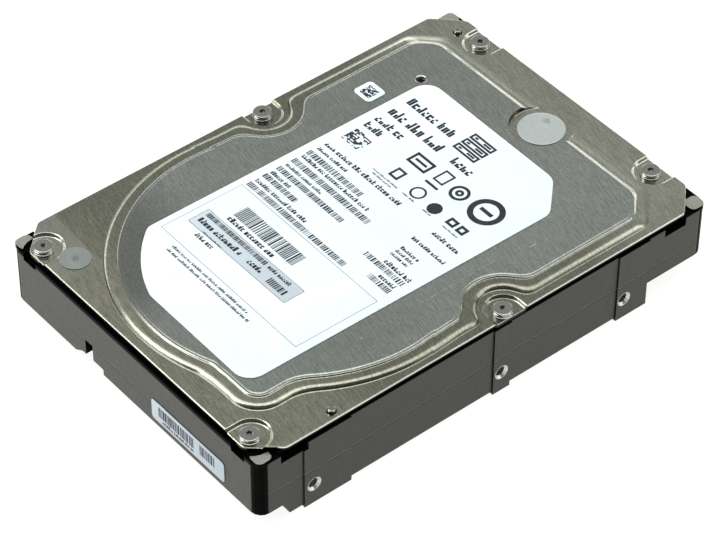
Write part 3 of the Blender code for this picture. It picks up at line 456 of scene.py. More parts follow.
def foil(name, dark, light, smudge):
    """Satin aluminium foil of a round seal, with a smudge."""
    finish = Finish(name, light, 0.42, 0.6)
    crease = finish.noise(0.8, 3.0)
    fine = finish.noise(6.0, 2.0)
    offset = finish.add("ShaderNodeVectorMath", {0: finish.place, 1: smudge}, operation="DISTANCE")
    ragged = finish.noise(0.9, 3.0).scaled(0.3, 0.7, -0.6, 0.6) + offset.outputs["Value"]
    stain = ragged.eased(1.3, 0.5) * 0.45
    stained = tuple(0.4 * value for value in dark)
    finish.set(Base_Color=finish.mix(stain, finish.mix(crease, dark, light), stained))
    finish.set(Roughness=fine.scaled(0.3, 0.7, 0.38, 0.5))
    finish.bump(crease + fine * 0.2, 0.02, 0.6)
    return finish.material


def moulded(name, colour, roughness, grain=3.0, depth=0.012, gloss=0.5):
    """Moulded plastic, rubber or epoxy with a fine grain."""
    finish = Finish(name, colour, roughness)
    fine = finish.noise(grain, 3.0)
    lighter = tuple(min(1.0, 1.35 * value + 0.004) for value in colour)
    finish.set(Base_Color=finish.mix(finish.noise(0.2, 2.0), colour, lighter), Specular_IOR_Level=gloss)
    finish.set(Roughness=fine.scaled(0.3, 0.7, roughness - 0.06, roughness + 0.06))
    finish.bump(fine, depth, 0.6)
    return finish.material


def solder_mask():
    """Green mask over glass laminate, whose weave shows faintly."""
    finish = Finish("solder_mask", (0.012, 0.10, 0.055), 0.28)
    weave = finish.noise((1.6, 1.6, 0.2), 2.0)
    base = finish.mix(finish.noise(0.15, 2.0), (0.010, 0.085, 0.045), (0.018, 0.125, 0.07))
    finish.set(Base_Color=finish.mix(weave.scaled(0.45, 0.7, 0.0, 0.4), base, (0.03, 0.16, 0.10)))
    finish.set(Roughness=weave.scaled(0.3, 0.7, 0.22, 0.36), Coat_Weight=0.4)
    finish.bump(weave, 0.01, 0.4)
    return finish.material


def wound_copper():
    """Enamelled wire, seen as fine parallel turns."""
    finish = Finish("copper_wire", (0.62, 0.30, 0.14), 0.35, 0.85)
    inputs = {"Vector": finish.place, "Scale": 1.6, "Distortion": 0.6, "Detail": 1.0}
    turns = Value(finish, finish.add("ShaderNodeTexWave", inputs).outputs["Fac"])
    finish.set(Base_Color=finish.mix(turns, (0.30, 0.12, 0.05), (0.74, 0.38, 0.18)))
    finish.set(Roughness=turns.scaled(0.0, 1.0, 0.45, 0.28))
    finish.bump(turns, 0.06, 0.8)
    return finish.material


def mirror():
    """A platter's polished, sputtered surface."""
    finish = Finish("platter_mirror", (0.82, 0.82, 0.84), 0.04, 1.0)
    haze = finish.noise(0.05, 2.0)
    finish.set(Base_Color=finish.mix(haze, (0.76, 0.765, 0.79), (0.86, 0.86, 0.87)))
    finish.set(Roughness=haze.scaled(0.3, 0.7, 0.03, 0.06))
    return finish.material


def floor_white():
    """A white sweep lit from below, so that the drive throws hardly any shadow on it."""
    finish = Finish("studio_floor", (0.2, 0.2, 0.2), 0.9)
    tone = finish.mix(finish.noise(0.004, 1.0), (0.19, 0.19, 0.19), (0.21, 0.21, 0.21))
    finish.set(Base_Color=tone, Specular_IOR_Level=0.0)
    finish.set(Emission_Color=(1.0, 1.0, 0.99, 1.0), Emission_Strength=0.92)
    return finish.material


# ---- outlines and solids


def polar(middle, radius, angle):
    """The place at a radius and an angle from a middle."""
    return middle[0] + radius * math.cos(angle), middle[1] + radius * math.sin(angle)


def rounded(corners, step=8.0):
    """A closed outline through corners (x, y, radius), with an arc at each."""
    outline = []
    count = len(corners)
    for i, (x, y, radius) in enumerate(corners):
        if radius == 0:
            outline.append((x, y))
            continue
        before = corners[i - 1]
        after = corners[(i + 1) % count]
        to_before = math.atan2(before[1] - y, before[0] - x)
        to_after = math.atan2(after[1] - y, after[0] - x)
        opening = (to_after - to_before + math.pi) % (2 * math.pi) - math.pi
        setback = radius / abs(math.tan(opening / 2))
        start = polar((x, y), setback, to_before)
        middle = polar((x, y), math.hypot(setback, radius), to_before + opening / 2)
        first = math.atan2(start[1] - middle[1], start[0] - middle[0])
        turn = math.copysign(math.pi - abs(opening), -opening)
        arcs = max(2, math.ceil(abs(math.degrees(turn)) / step))
        outline += [polar(middle, radius, first + turn * k / arcs) for k in range(arcs + 1)]
    return outline


def rectangle(low, high, radius=0.0, step=15.0):
    (x0, y0), (x1, y1) = low, high
    return rounded([(x0, y0, radius), (x1, y0, radius), (x1, y1, radius), (x0, y1, radius)], step)


def circle(middle, radius, count=32):
    return [polar(middle, radius, 2 * math.pi * k / count) for k in range(count)]


def half_ring(middle, inner, outer, start, steps=18):
    """The outline of half a ring that starts at an angle."""
    angles = [start + math.pi * k / steps for k in range(steps + 1)]
    return [polar(middle, outer, a) for a in angles] + [polar(middle, inner, a) for a in reversed(angles)]


def add_slab(work, outline, low, high):
    """Adds a closed slab to a bmesh."""
    below, above = ([work.verts.new((x, y, z)) for x, y in outline] for z in (low, high))
    for i in range(len(outline)):
        work.faces.new((below[i - 1], below[i], above[i], above[i - 1]))
    work.faces.new(below[::-1])
    work.faces.new(above)


def shrunk(outline, distance):
    """The outline moved inwards by a small distance; the outline runs anticlockwise."""
    moved = []
    count = len(outline)
    for i, (x, y) in enumerate(outline):
        ax, ay = outline[i - 1]
        bx, by = outline[(i + 1) % count]
        first = Vector((ay - y, x - ax)).normalized()
        second = Vector((y - by, bx - x)).normalized()
        bisector = (first + second).normalized()
        reach = distance / max(0.5, bisector.dot(first))
        moved.append((x + bisector.x * reach, y + bisector.y * reach))
    return moved


def linked(name, data):
    """A new object in the scene."""
    obj = bpy.data.objects.new(name, data)
    bpy.context.scene.collection.objects.link(obj)
    return obj


def evaluated(obj):
    """The mesh that an object's modifiers or curve give; the object itself is removed."""
    mesh = bpy.data.meshes.new_from_object(obj.evaluated_get(bpy.context.evaluated_depsgraph_get()))
    bpy.data.objects.remove(obj)
    return mesh


def shade(mesh, smooth=35.0):
    """Smooth faces, with sharp edges past an angle in degrees."""
    mesh.shade_smooth()
    mesh.set_sharp_from_angle(angle=math.radians(smooth))
    return mesh


def mesh_of(work, name, place=None, smooth=35.0):
    """Turns a bmesh in millimetres into a mesh in metres with its faces pointing out."""
    bmesh.ops.remove_doubles(work, verts=work.verts, dist=1e-5)
    bmesh.ops.recalc_face_normals(work, faces=work.faces)
    work.transform(Matrix.Scale(MM, 4) @ (place or Matrix.Identity(4)))
    mesh = bpy.data.meshes.new(name)
    work.to_mesh(mesh)
    work.free()
    return shade(mesh, smooth)


def piece(name, mesh, slot, stands_for=(), finish=None):
    """Shows a mesh as a piece of the object, in its slot's finish or a given one."""
    obj = linked(name, mesh)
    mesh.materials.append(FINISHES[finish or slot])
    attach(obj, "base")
    if stands_for:
        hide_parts(*stands_for)


def revolved(profile, steps=64):
    """A bmesh turned about Z from (radius, height) points, from the axis at the top to the axis below."""
    work = bmesh.new()
    loops = []
    for radius, height in profile:
        outline = circle((0.0, 0.0), radius, steps) if radius else [(0.0, 0.0)]
        loops.append([work.verts.new((x, y, height)) for x, y in outline])
    for upper, lower in zip(loops, loops[1:]):
        for i in range(steps):
            corners = [(upper, i), (lower, i), (lower, (i + 1) % steps), (upper, (i + 1) % steps)]
            work.faces.new(list(dict.fromkeys(loop[k % len(loop)] for loop, k in corners)))
    return work


def without(mesh, cutter, name, smooth):
    """A copy of a mesh with another one cut out of it."""
    body = linked(name, mesh)
    tool = linked(name + "_tool", cutter)
    modifier = body.modifiers.new("cut", "BOOLEAN")
    modifier.operation = "DIFFERENCE"
    modifier.solver = "EXACT"
    modifier.object = tool
    result = evaluated(body)
    bpy.data.objects.remove(tool)
    return shade(result, smooth)


# ---- the pressed cover


def smooth_max(a, b, blend):
    """The larger of two distances, rounded over where they cross."""
    overlap = max(blend - abs(a - b), 0.0) / blend
    return max(a, b) + overlap * overlap * blend / 4


def smooth_min(a, b, blend):
    return -smooth_max(-a, -b, blend)


def lobe_distance(x, y):
    """Distance to the rounded pocket at the front right, outside the platters."""
    qx = abs(x - LOBE_MIDDLE[0]) - LOBE_HALF[0] + LOBE_RADIUS
    qy = abs(y - LOBE_MIDDLE[1]) - LOBE_HALF[1] + LOBE_RADIUS
    outside = math.hypot(max(qx, 0.0), max(qy, 0.0))
    return outside + min(max(qx, qy), 0.0) - LOBE_RADIUS


def bead_distance(x, y):
    """Distance to the foot of the cover's raised middle, negative on it."""
    well = math.dist((x, y), SPINDLE) - DISC_WALL_RADIUS
    chamfer = (abs(x) + y - (RIGHT_CHAMFER_SUM if x > 0 else LEFT_CHAMFER_SUM)) / math.sqrt(2)
    room = smooth_max(abs(x) - CAVITY_SIDE_X, chamfer, CAVITY_BLEND)
    room = smooth_max(room, y - CAVITY_REAR_Y, CAVITY_BLEND)
    room = max(room, ROOM_START - y)
    distance = smooth_min(smooth_min(well, room, WELL_BLEND), lobe_distance(x, y), LOBE_BLEND)
    for place in POCKET_PLACES[2:4]:
        distance = smooth_max(distance, MID_BOSS_RADIUS - math.dist((x, y), place), BOSS_BLEND)
    return distance


# Profiles as (distance, height) points: outside first.
BEAD_PROFILE = (
    (0.50, 24.50), (0.22, 24.53), (-0.02, 24.66), (-0.26, 24.90), (-0.56, 25.16), (-0.94, 25.33),
    (-1.42, 25.41), (-2.00, 25.43), (-2.90, 25.41), (-3.25, 25.43), (-3.42, 25.50), (-3.60, 25.70),
    (-3.75, 25.74), (-4.15, 25.75), (-4.30, 25.78), (-4.48, 25.845), (-4.80, 25.85),
)
REAR_PROFILE = (
    (0.90, 24.50), (0.50, 24.52), (-0.26, 24.63), (-1.42, 24.84), (-2.00, 24.94), (-2.90, 25.03),
    (-3.25, 25.18), (-3.75, 25.55), (-4.15, 25.79), (-4.48, 25.85),
)
POCKET_PROFILE = (
    (5.45, 0.0), (5.32, -0.03), (5.16, -0.14), (4.99, -0.32), (4.83, -0.52), (4.68, -0.68), (4.55, -0.76),
    (4.40, -0.8),
)
DIMPLE_PROFILE = ((6.0, 0.0), (5.5, -0.12), (5.0, -0.75), (4.7, -1.05), (4.4, -1.1))
RECESS_PROFILE = ((8.72, 0.0), (8.62, 0.04), (8.52, 0.30), (8.42, 0.70), (8.32, 0.96), (8.22, 1.0))
HOLE_PROFILE = ((0.42, 0.0), (0.32, -0.02), (0.18, -0.09), (0.0, -0.22))
EDGE_PROFILE = ((0.26, 0.0), (0.15, -0.01), (0.06, -0.05), (0.0, -0.13))


def along(profile, distance):
    """The height of a profile at a distance, on a smooth curve through its points."""
    if distance >= profile[0][0]:
        return profile[0][1]
    if distance <= profile[-1][0]:
        return profile[-1][1]
    k = next(i for i in range(len(profile) - 1) if distance >= profile[i + 1][0])
    (x0, z0), (x1, z1) = profile[k], profile[k + 1]
    width = x1 - x0
    before = (z1 - profile[k - 1][1]) / (x1 - profile[k - 1][0]) if k > 0 else 0.0
    after = (profile[k + 2][1] - z0) / (profile[k + 2][0] - x0) if k + 2 < len(profile) else 0.0
    t = (distance - x0) / width
    level = z0 * (1 + 2 * t) * (1 - t) ** 2 + z1 * t * t * (3 - 2 * t)
    return level + width * (before * t * (1 - t) ** 2 - after * t * t * (1 - t))


def pocket_frame(place):
    """The direction in which a cover screw's pocket opens."""
    x, y = place
    if abs(y) < abs(POCKET_PLACES[0][1]) / 2:
        return (math.copysign(1.0, x), 0.0)
    return (0.0, math.copysign(1.0, y))


POCKETS = [(place, pocket_frame(place)) for place in POCKET_PLACES]


def pocket_distance(pocket, x, y):
    """Distance to the line from the middle of a pocket straight out over the cover's edge."""
    (sx, sy), (fx, fy) = pocket
    ahead = (x - sx) * fx + (y - sy) * fy
    aside = (x - sx) * -fy + (y - sy) * fx
    return abs(aside) if ahead > 0 else math.hypot(ahead, aside)


def flange_outline():
    """The cover's edge: straight sides with a cut at each corner."""
    side, front, rear = FLANGE_SIDE, FLANGE_FRONT, FLANGE_REAR
    corners = [(-43.6, front), (43.6, front), (side, -64.8), (side, 64.9)]
    corners += [(42.9, rear), (-42.9, rear), (-side, 64.9), (-side, -64.8)]
    return rounded([(*corner, 2.0) for corner in corners], 12.0)


FLANGE = flange_outline()


def edge_distance(x, y):
    """Distance inwards from the cover's edge, which is convex."""
    nearest = math.inf
    for (ax, ay), (bx, by) in zip(FLANGE, FLANGE[1:] + FLANGE[:1]):
        length = math.hypot(bx - ax, by - ay)
        if length > 1e-6:
            nearest = min(nearest, ((bx - ax) * (y - ay) - (by - ay) * (x - ax)) / length)
    return nearest


def cover_height(x, y):
    """The height of the cover's upper face."""
    distance = bead_distance(x, y)
    height = along(BEAD_PROFILE, distance)
    rear = min(max((y - REAR_SLOPE_START + abs(x) * 0.05) / REAR_SLOPE_BAND, 0.0), 1.0)
    if rear > 0.0:
        height += (along(REAR_PROFILE, distance) - height) * rear * rear * (3 - 2 * rear)
    height += (FLANGE_TOP - height) * along(RECESS_PROFILE, math.dist((x, y), LARGE_SEAL))
    for pocket in POCKETS:
        height += along(POCKET_PROFILE, pocket_distance(pocket, x, y))
    for place in (SPINDLE, PIVOT):
        height += along(DIMPLE_PROFILE, math.dist((x, y), place))
    height += along(HOLE_PROFILE, math.dist((x, y), YOKE_SCREW) - YOKE_HOLE)
    if FLANGE_SIDE - abs(x) < CORNER_CUT or FLANGE_REAR - abs(y) < CORNER_CUT:
        height += along(EDGE_PROFILE, edge_distance(x, y))
    return height


def gradient(field, x, y, reach):
    """How fast a field rises to the east and to the north."""
    east = (field(x + reach, y) - field(x - reach, y)) / (2 * reach)
    north = (field(x, y + reach) - field(x, y - reach)) / (2 * reach)
    return east, north


def settled(field, level, x, y):
    """A place moved to where the field has a level."""
    for _ in range(3):
        east, north = gradient(field, x, y, 0.01)
        miss = (field(x, y) - level) / (east * east + north * north)
        x, y = x - miss * east, y - miss * north
    return x, y


def traced(field, level, start, step=0.7):
    """Follows the line where a field has a level, anticlockwise from a start near it."""
    x, y = settled(field, level, *start)
    outline = [(x, y)]
    while len(outline) < 4 or math.dist((x, y), outline[0]) > step * 0.8:
        east, north = gradient(field, x, y, 0.01)
        size = math.hypot(east, north)
        x, y = settled(field, level, x - north / size * step, y + east / size * step)
        outline.append((x, y))
        if len(outline) > 3000:
            raise RuntimeError(f"the line at {level} didn't close")
    return outline


def straightened(outline, tolerance=0.004):
    """Drops the points of a closed outline that lie on the line between their neighbours."""
    kept = []
    for i, (x, y) in enumerate(outline):
        ax, ay = kept[-1] if kept else outline[-1]
        bx, by = outline[(i + 1) % len(outline)]
        length = math.hypot(bx - ax, by - ay) or 1.0
        if abs((bx - ax) * (ay - y) - (ax - x) * (by - ay)) / length > tolerance:
            kept.append((x, y))
    return kept


# Each hole in the cover, as its middle and radius.
COVER_HOLES = [(place, SCREW_HOLE) for place in COVER_SCREWS] + [(place, PIN_HOLE) for place in LOCATING_PINS]
COVER_HOLES += [(SPINDLE, SCREW_HOLE), (PIVOT, SCREW_HOLE), (YOKE_SCREW, YOKE_HOLE)]
COVER_HOLES += [(LARGE_SEAL, LARGE_VENT), (SMALL_SEAL, SMALL_VENT)]


def closed_lines():
    """The closed outlines that the cover's triangles follow."""
    lines = [FLANGE] + [shrunk(FLANGE, distance) for distance, _ in EDGE_PROFILE[:-1]]
    for distance, _ in REAR_PROFILE[:1] + BEAD_PROFILE:
        start = (0.0, SPINDLE[1] - DISC_WALL_RADIUS - distance)
        lines.append(straightened(traced(bead_distance, distance, start)))
    for place in (SPINDLE, PIVOT):
        lines += [circle(place, distance, 40) for distance, _ in DIMPLE_PROFILE]
    lines += [circle(LARGE_SEAL, distance, 96) for distance, _ in RECESS_PROFILE]
    lines += [circle(YOKE_SCREW, YOKE_HOLE + distance, 36) for distance, _ in HOLE_PROFILE[:-1]]
    return lines + [circle(place, radius, 36) for place, radius in COVER_HOLES]


def pocket_lines():
    """The open lines round the screw pockets, which run out over the cover's edge."""
    lines = []
    for (sx, sy), (fx, fy) in POCKETS:
        for radius, _ in POCKET_PROFILE:
            arc = [polar((0.0, 0.0), radius, math.pi / 2 + math.pi * k / 24) for k in range(25)]
            local = [(10.0, radius)] + arc + [(10.0, -radius)]
            lines.append([(sx + u * fx - v * fy, sy + u * fy + v * fx) for u, v in local])
    return lines


def fine_cover():
    """The pressed sheet, whose triangles follow its bead, pockets, dimples and edge."""
    points = []
    links = []
    closed = closed_lines()
    for number, line in enumerate(closed + pocket_lines()):
        first = len(points)
        points += [Vector(point) for point in line]
        links += [(k, k + 1) for k in range(first, len(points) - 1)]
        if number < len(closed):
            links.append((len(points) - 1, first))
    places, _, triangles, *_ = delaunay_2d_cdt(points, links, [], 0, 1e-4)
    kept = []
    for triangle in triangles:
        middle = [sum(places[k][axis] for k in triangle) / 3 for axis in (0, 1)]
        in_hole = any(math.dist(middle, place) < radius for place, radius in COVER_HOLES)
        if edge_distance(*middle) > 0.0 and not in_hole:
            kept.append(triangle)
    return sheet_mesh("pressed_cover", places, kept)


def cover_normal(x, y):
    east, north = gradient(cover_height, x, y, 0.02)
    return Vector((-east, -north, 1.0)).normalized()


def sheet_mesh(name, places, triangles):
    """A closed sheet of even thickness over triangles in plan, shaded by the height's own slope."""
    used = sorted({k for triangle in triangles for k in triangle})
    number = {k: i for i, k in enumerate(used)}
    count = len(used)
    tops = [(*places[k], cover_height(*places[k])) for k in used]
    slopes = [cover_normal(*places[k]) for k in used]
    vertices = tops + [(x, y, z - SHEET) for x, y, z in tops]
    faces = []
    normals = []
    rim = {}
    for triangle in triangles:
        a, b, c = (number[k] for k in triangle)
        faces += [(a, b, c), (c + count, b + count, a + count)]
        normals += [slopes[a], slopes[b], slopes[c], -slopes[c], -slopes[b], -slopes[a]]
        rim.update(dict.fromkeys(((a, b), (b, c), (c, a))))
    for a, b in rim:
        if (b, a) not in rim:
            faces.append((b, a, a + count, b + count))
            outward = Vector((tops[b][1] - tops[a][1], tops[a][0] - tops[b][0], 0.0)).normalized()
            normals += [outward] * 4
    mesh = bpy.data.meshes.new(name)
    mesh.from_pydata([(x * MM, y * MM, z * MM) for x, y, z in vertices], [], faces)
    mesh.shade_smooth()
    mesh.normals_split_custom_set(normals)
    return mesh


# ---- fasteners and seals


def lobed(radius, depth, count=96):
    """The six-lobed outline of a screw's drive."""
    angles = [2 * math.pi * k / count for k in range(count)]
    return [polar((0.0, 0.0), radius * (1 + depth * math.cos(6 * angle)), angle) for angle in angles]


def screw_mesh(name, profile, drive, floor):
    """A turned screw, whose drive (radius, floor height) is cut into its head."""
    work = bmesh.new()
    add_slab(work, lobed(drive, 0.13), floor, profile[0][1] + 1.0)
    work.transform(Matrix.Rotation(0.3, 4, "Z"))
    return without(mesh_of(revolved(profile), name), mesh_of(work, name + "_drive"), name, 14.0)


# The faces of the turned pieces, as radii and depths below their highest point. A cheese head has a flat top,
# a chamfer, a groove and a flange. The large seal has a faint pressed ring, the small one a raised middle.
CHEESE_HEAD = (
    (0.0, 0.0), (2.36, 0.0), (2.48, 0.05), (2.53, 0.17), (2.53, 0.42), (2.44, 0.48), (2.44, 0.58),
    (2.53, 0.64), (2.53, 1.05), (2.60, 1.13), (2.71, 1.17), (2.75, 1.25), (2.75, 1.45), (1.15, 1.45),
    (1.15, 8.45), (0.0, 8.45),
)
BUTTON_HEAD = (
    (0.0, 0.05), (0.9, 0.05), (1.4, 0.02), (1.7, 0.15), (1.85, 0.4), (1.9, 1.0), (0.9, 1.0), (0.9, 3.2),
    (0.0, 3.2),
)
DOWEL_END = ((0.0, 0.0), (0.84, 0.0), (0.94, 0.05), (1.0, 0.16))
LARGE_FOIL = (
    (0.0, 0.03), (1.2, 0.03), (1.7, 0.01), (2.2, 0.03), (5.7, 0.03), (6.1, 0.03), (6.33, 0.05), (6.4, 0.09),
)
SMALL_FOIL = (
    (0.0, 0.06), (0.7, 0.06), (1.3, 0.0), (1.7, 0.0), (2.2, 0.07), (3.0, 0.10), (3.9, 0.11), (4.06, 0.13),
    (4.1, 0.17),
)
DOWEL_FOOT = 18.0


def below(top, face):
    """The (radius, height) points of a face whose highest point is at a height."""
    return [(radius, top - depth) for radius, depth in face]


def closed_below(top, face, foot):
    """A face and the upright wall and floor under it."""
    return below(top, face) + [(face[-1][0], foot), (0.0, foot)]


def fasteners():
    """The cover's screws, each turned by its own amount, its pins, and the screw in the small hole."""
    top = top_of("cover_screw_1")
    mesh = screw_mesh("flanged_screw", below(top, CHEESE_HEAD), 0.80, top - 0.7)
    for number, (x, y) in enumerate(COVER_SCREWS, 1):
        turned = mesh.copy()
        turned.transform(Matrix.Translation((x * MM, y * MM, 0.0)) @ Matrix.Rotation(0.7 * number, 4, "Z"))
        piece(f"flanged_screw_{number}", turned, "screw_plate", [f"cover_screw_{number}"])
    for number, place in enumerate(LOCATING_PINS, 1):
        node = f"locating_pin_{number}"
        profile = closed_below(top_of(node), DOWEL_END, DOWEL_FOOT)
        pin = mesh_of(revolved(profile), "dowel", Matrix.Translation((*place, 0.0)), 14.0)
        piece(f"dowel_{number}", pin, "bright_steel", [node], "pin_steel")
    top = top_of("yoke_screw")
    mesh = screw_mesh("button_screw", below(top, BUTTON_HEAD), 0.75, top - 0.6)
    mesh.transform(Matrix.Translation((YOKE_SCREW[0] * MM, YOKE_SCREW[1] * MM, 0.0)))
    piece("button_screw", mesh, "screw_plate", ["yoke_screw"])


def seal(name, node, face, finish):
    """A foil disc in the place of a seal."""
    low, high = (corner[2] for corner in span(node))
    disc = revolved(closed_below(high, face, low), 96)
    piece(name, mesh_of(disc, name, Matrix.Translation((*centre(node), 0.0))), "silver_foil", [node], finish)


# ---- labels and their print


def flat(name, outline, low, high, edge, place=None, holes=()):
    """A thin plate with softly rounded edges and any holes, filled from curves."""
    curve = bpy.data.curves.new(name, "CURVE")
    curve.dimensions = "2D"
    curve.fill_mode = "BOTH"
    curve.extrude = (high - low) / 2 - edge
    curve.bevel_depth = edge
    curve.bevel_resolution = 1
    curve.offset = -edge
    for loop in (outline, *holes):
        spline = curve.splines.new("POLY")
        spline.points.add(len(loop) - 1)
        for point, (x, y) in zip(spline.points, loop):
            point.co = (x, y, 0.0, 1.0)
        spline.use_cyclic_u = True
    work = bmesh.new()
    work.from_mesh(evaluated(linked(name + "_guide", curve)))
    work.transform(Matrix.Translation((0.0, 0.0, (low + high) / 2)))
    return mesh_of(work, name, place)


def label_outline():
    """The main label before its tilt: a straight cut at the rear right and an arc at the front left."""
    left, right, front, rear, chamfer, radius = -29.6, 30.0, -59.8, 46.7, 9.6, 39.4
    middle = (2.0, -22.0)
    side_y = middle[1] - math.sqrt(radius**2 - (left - middle[0]) ** 2)
    front_x = middle[0] - math.sqrt(radius**2 - (front - middle[1]) ** 2)
    start = math.atan2(side_y - middle[1], left - middle[0])
    end = math.atan2(front - middle[1], front_x - middle[0])
    arc = [(*polar(middle, radius, start + (end - start) * k / 16), 0) for k in range(1, 16)]
    corners = [(front_x, front, 4.0), (right, front, 5.0), (right, rear - chamfer, 5.0)]
    corners += [(right - chamfer, rear, 5.0), (left, rear, 5.0), (left, side_y, 3.0)]
    return rounded(corners + arc)


class Print:
    """Flat ink marks that stand a hair proud of a label."""

    def __init__(self, top, seed):
        self.work = bmesh.new()
        self.levels = (top - PRINT_ROOT, top + PRINT)
        self.random = random.Random(seed)

    def shape(self, outline):
        add_slab(self.work, outline, *self.levels)

    def bar(self, x0, x1, y0, y1):
        self.shape([(x0, y0), (x1, y0), (x1, y1), (x0, y1)])

    def band(self, x, y, inner, outer):
        for start in (0.0, math.pi):
            self.shape(half_ring((x, y), inner, outer, start))

    def frame(self, x0, x1, y0, y1, width):
        """Four bars round a rectangle."""
        self.bar(x0, x1, y0, y0 + width)
        self.bar(x0, x1, y1 - width, y1)
        self.bar(x0, x0 + width, y0 + width, y1 - width)
        self.bar(x1 - width, x1, y0 + width, y1 - width)

    def code(self, x0, x1, y0, y1, module=0.2):
        """A run of bars of chance widths: it encodes nothing."""
        x = x0
        while x < x1 - 3 * module:
            width = module * self.random.choice((1, 1, 2, 2, 2, 3))
            self.bar(x, x + width, y0, y1)
            x += width + module * self.random.choice((1, 1, 1, 1, 2))

    def words(self, x0, x1, y0, y1):
        """A line of writing reduced to strokes and blocks that are no letters."""
        size = y1 - y0
        x = x0
        while x < x1:
            for _ in range(self.random.randint(3, 8)):
                width = size * self.random.uniform(0.44, 0.58)
                if x + width > x1:
                    return
                self.letter(x, x + width, y0, size)
                x += width + size * 0.12
            x += size * 0.36

    def letter(self, x0, x1, y0, size):
        """One meaningless mark of the size of a letter: two or three strokes that don't meet."""
        stroke = (x1 - x0) * (0.48 if size > 2.0 else 0.50)
        heights = [size * self.random.choice((0.45, 0.72, 0.72, 1.0)) for _ in range(2)]
        self.bar(x0, x0 + stroke, y0, y0 + heights[0])
        if self.random.random() < 0.6:
            self.bar(x1 - stroke, x1, y0, y0 + heights[1])
        else:
            self.bar(x1 - stroke * 1.2, x1, y0, y0 + stroke)
            self.bar(x1 - stroke * 1.2, x1, y0 + size * 0.72 - stroke, y0 + size * 0.72)

    def cells(self, x0, y0, cell, columns, rows):
        """A square pattern of chance cells: it encodes nothing."""
        for row in range(rows):
            column = 0
            while column < columns:
                run = min(self.random.choice((1, 1, 2, 3)), columns - column)
                if self.random.random() < 0.52:
                    x = x0 + column * cell
                    self.bar(x, x + run * cell, y0 + row * cell, y0 + (row + 1) * cell - cell * 0.04)
                column += run

    def drawers(self, x, y):
        """Three stacked drawers, a plain sign for storage."""
        for low in (y - 4.1, y - 1.25, y + 1.6):
            self.frame(x - 4.3, x + 4.3, low, low + 2.5, 0.7)
            self.bar(x - 3.1, x - 1.9, low + 0.95, low + 1.6)
            self.bar(x + 0.2, x + 3.1, low + 0.95, low + 1.6)

    def piece(self, name, finish, place=None):
        piece(name, mesh_of(self.work, name, place), "label_paper", (), finish)


# What is printed on the main label. Words, codes and bars are (left, right, bottom, top), frames have a line
# width as well, and bands are (x, y, inner radius, outer radius).
WORDS = (
    (-26.3, -8.0, 36.0, 39.0), (-26.4, -4.4, 29.7, 33.0), (-1.3, 6.0, 29.9, 32.8),
    (-26.4, -16.0, 25.2, 27.8), (-26.4, -19.0, 21.6, 24.0), (-26.6, 3.5, 8.8, 10.4),
    (16.8, 28.0, 8.8, 10.4), (-26.6, -14.8, 6.3, 7.5), (-26.6, 0.5, 1.2, 2.6), (-26.6, -12.2, -4.0, -2.8),
    (-26.7, -18.7, -8.9, -7.6), (-26.7, -6.0, -13.8, -12.4), (15.0, 28.0, 3.7, 5.0),
    (16.0, 23.0, -0.7, 0.5), (16.0, 23.0, -2.4, -1.3), (16.0, 23.0, -4.0, -2.9), (17.3, 27.7, -7.2, -5.7),
    (20.5, 27.4, -11.6, -10.2), (-19.7, -1.0, -28.2, -26.5), (-20.0, -12.8, -38.2, -36.7),
    (-19.5, -11.5, -35.9, -35.4), (-20.0, 10.8, -45.2, -44.3), (-20.0, 13.5, -46.9, -46.0),
    (-11.4, -1.5, 12.7, 13.3), (0.4, 5.4, 12.7, 13.3), (8.5, 11.7, 12.7, 13.3), (16.4, 22.0, 12.7, 13.3),
    (-10.3, -2.8, 11.6, 12.2),
)
CODES = (
    (-27.0, -4.5, 3.0, 5.0), (-27.0, 4.5, -2.0, 0.0), (-27.0, -0.2, -6.8, -5.0),
    (-27.0, -13.5, -11.3, -9.5), (-27.0, 13.0, -16.4, -14.6), (12.0, 27.5, -9.5, -7.7),
    (18.8, 27.5, -13.8, -12.0), (-19.8, 4.7, -26.0, -21.2),
)
FRAMES = (
    (-9.0, -1.8, 21.7, 26.3, 0.85), (0.9, 4.7, 22.4, 27.4, 0.6), (-7.6, -4.2, 14.6, 18.6, 0.75),
    (15.5, 18.6, 14.2, 17.0, 0.85), (19.4, 22.3, 14.2, 17.0, 0.85),
)
BARS = ((-7.6, -3.2, 23.6, 24.4), (0.4, 5.2, 20.2, 21.0), (17.2, 21.6, 24.3, 25.5))
BANDS = ((9.7, 24.2, 1.95, 2.85), (9.7, 24.2, 0.4, 1.2), (19.4, 24.9, 3.35, 5.0), (3.0, 16.0, 1.7, 2.3))


def print_main_label(tilt):
    """Rows of strokes and bars where the label has words and codes, and a few plain symbols."""
    black = Print(LABEL_TOP, 11)
    for line in WORDS:
        black.words(*line)
    for line in CODES:
        black.code(*line)
    black.drawers(-1.2, 38.5)
    black.cells(-26.2, 14.1, 0.42, 16, 13)
    for mark, places in ((black.frame, FRAMES), (black.bar, BARS), (black.band, BANDS)):
        for place in places:
            mark(*place)
    black.shape(circle((10.2, 15.5), 2.1))
    black.piece("main_label_print", "label_ink", tilt)
    grey = Print(LABEL_TOP, 12)
    grey.frame(-27.6, 27.5, -42.9, -17.2, 0.16)
    grey.piece("main_label_rule", "grey_ink", tilt)


def main_label():
    """The main label, with a window where the strip sticks to the cover."""
    tilt = Matrix.Rotation(LABEL_TILT, 4, "Z")
    window = rectangle((-25.75, -35.85), (13.25, -29.15), 0.4)
    window = [tuple((tilt.inverted() @ Vector((x, y, 0.0))).xy) for x, y in window]
    sheet = flat("label_sheet", label_outline(), LABEL_BOTTOM, LABEL_TOP, 0.03, tilt, [window])
    piece("label_sheet", sheet, "label_paper", ["main_label"])
    print_main_label(tilt)


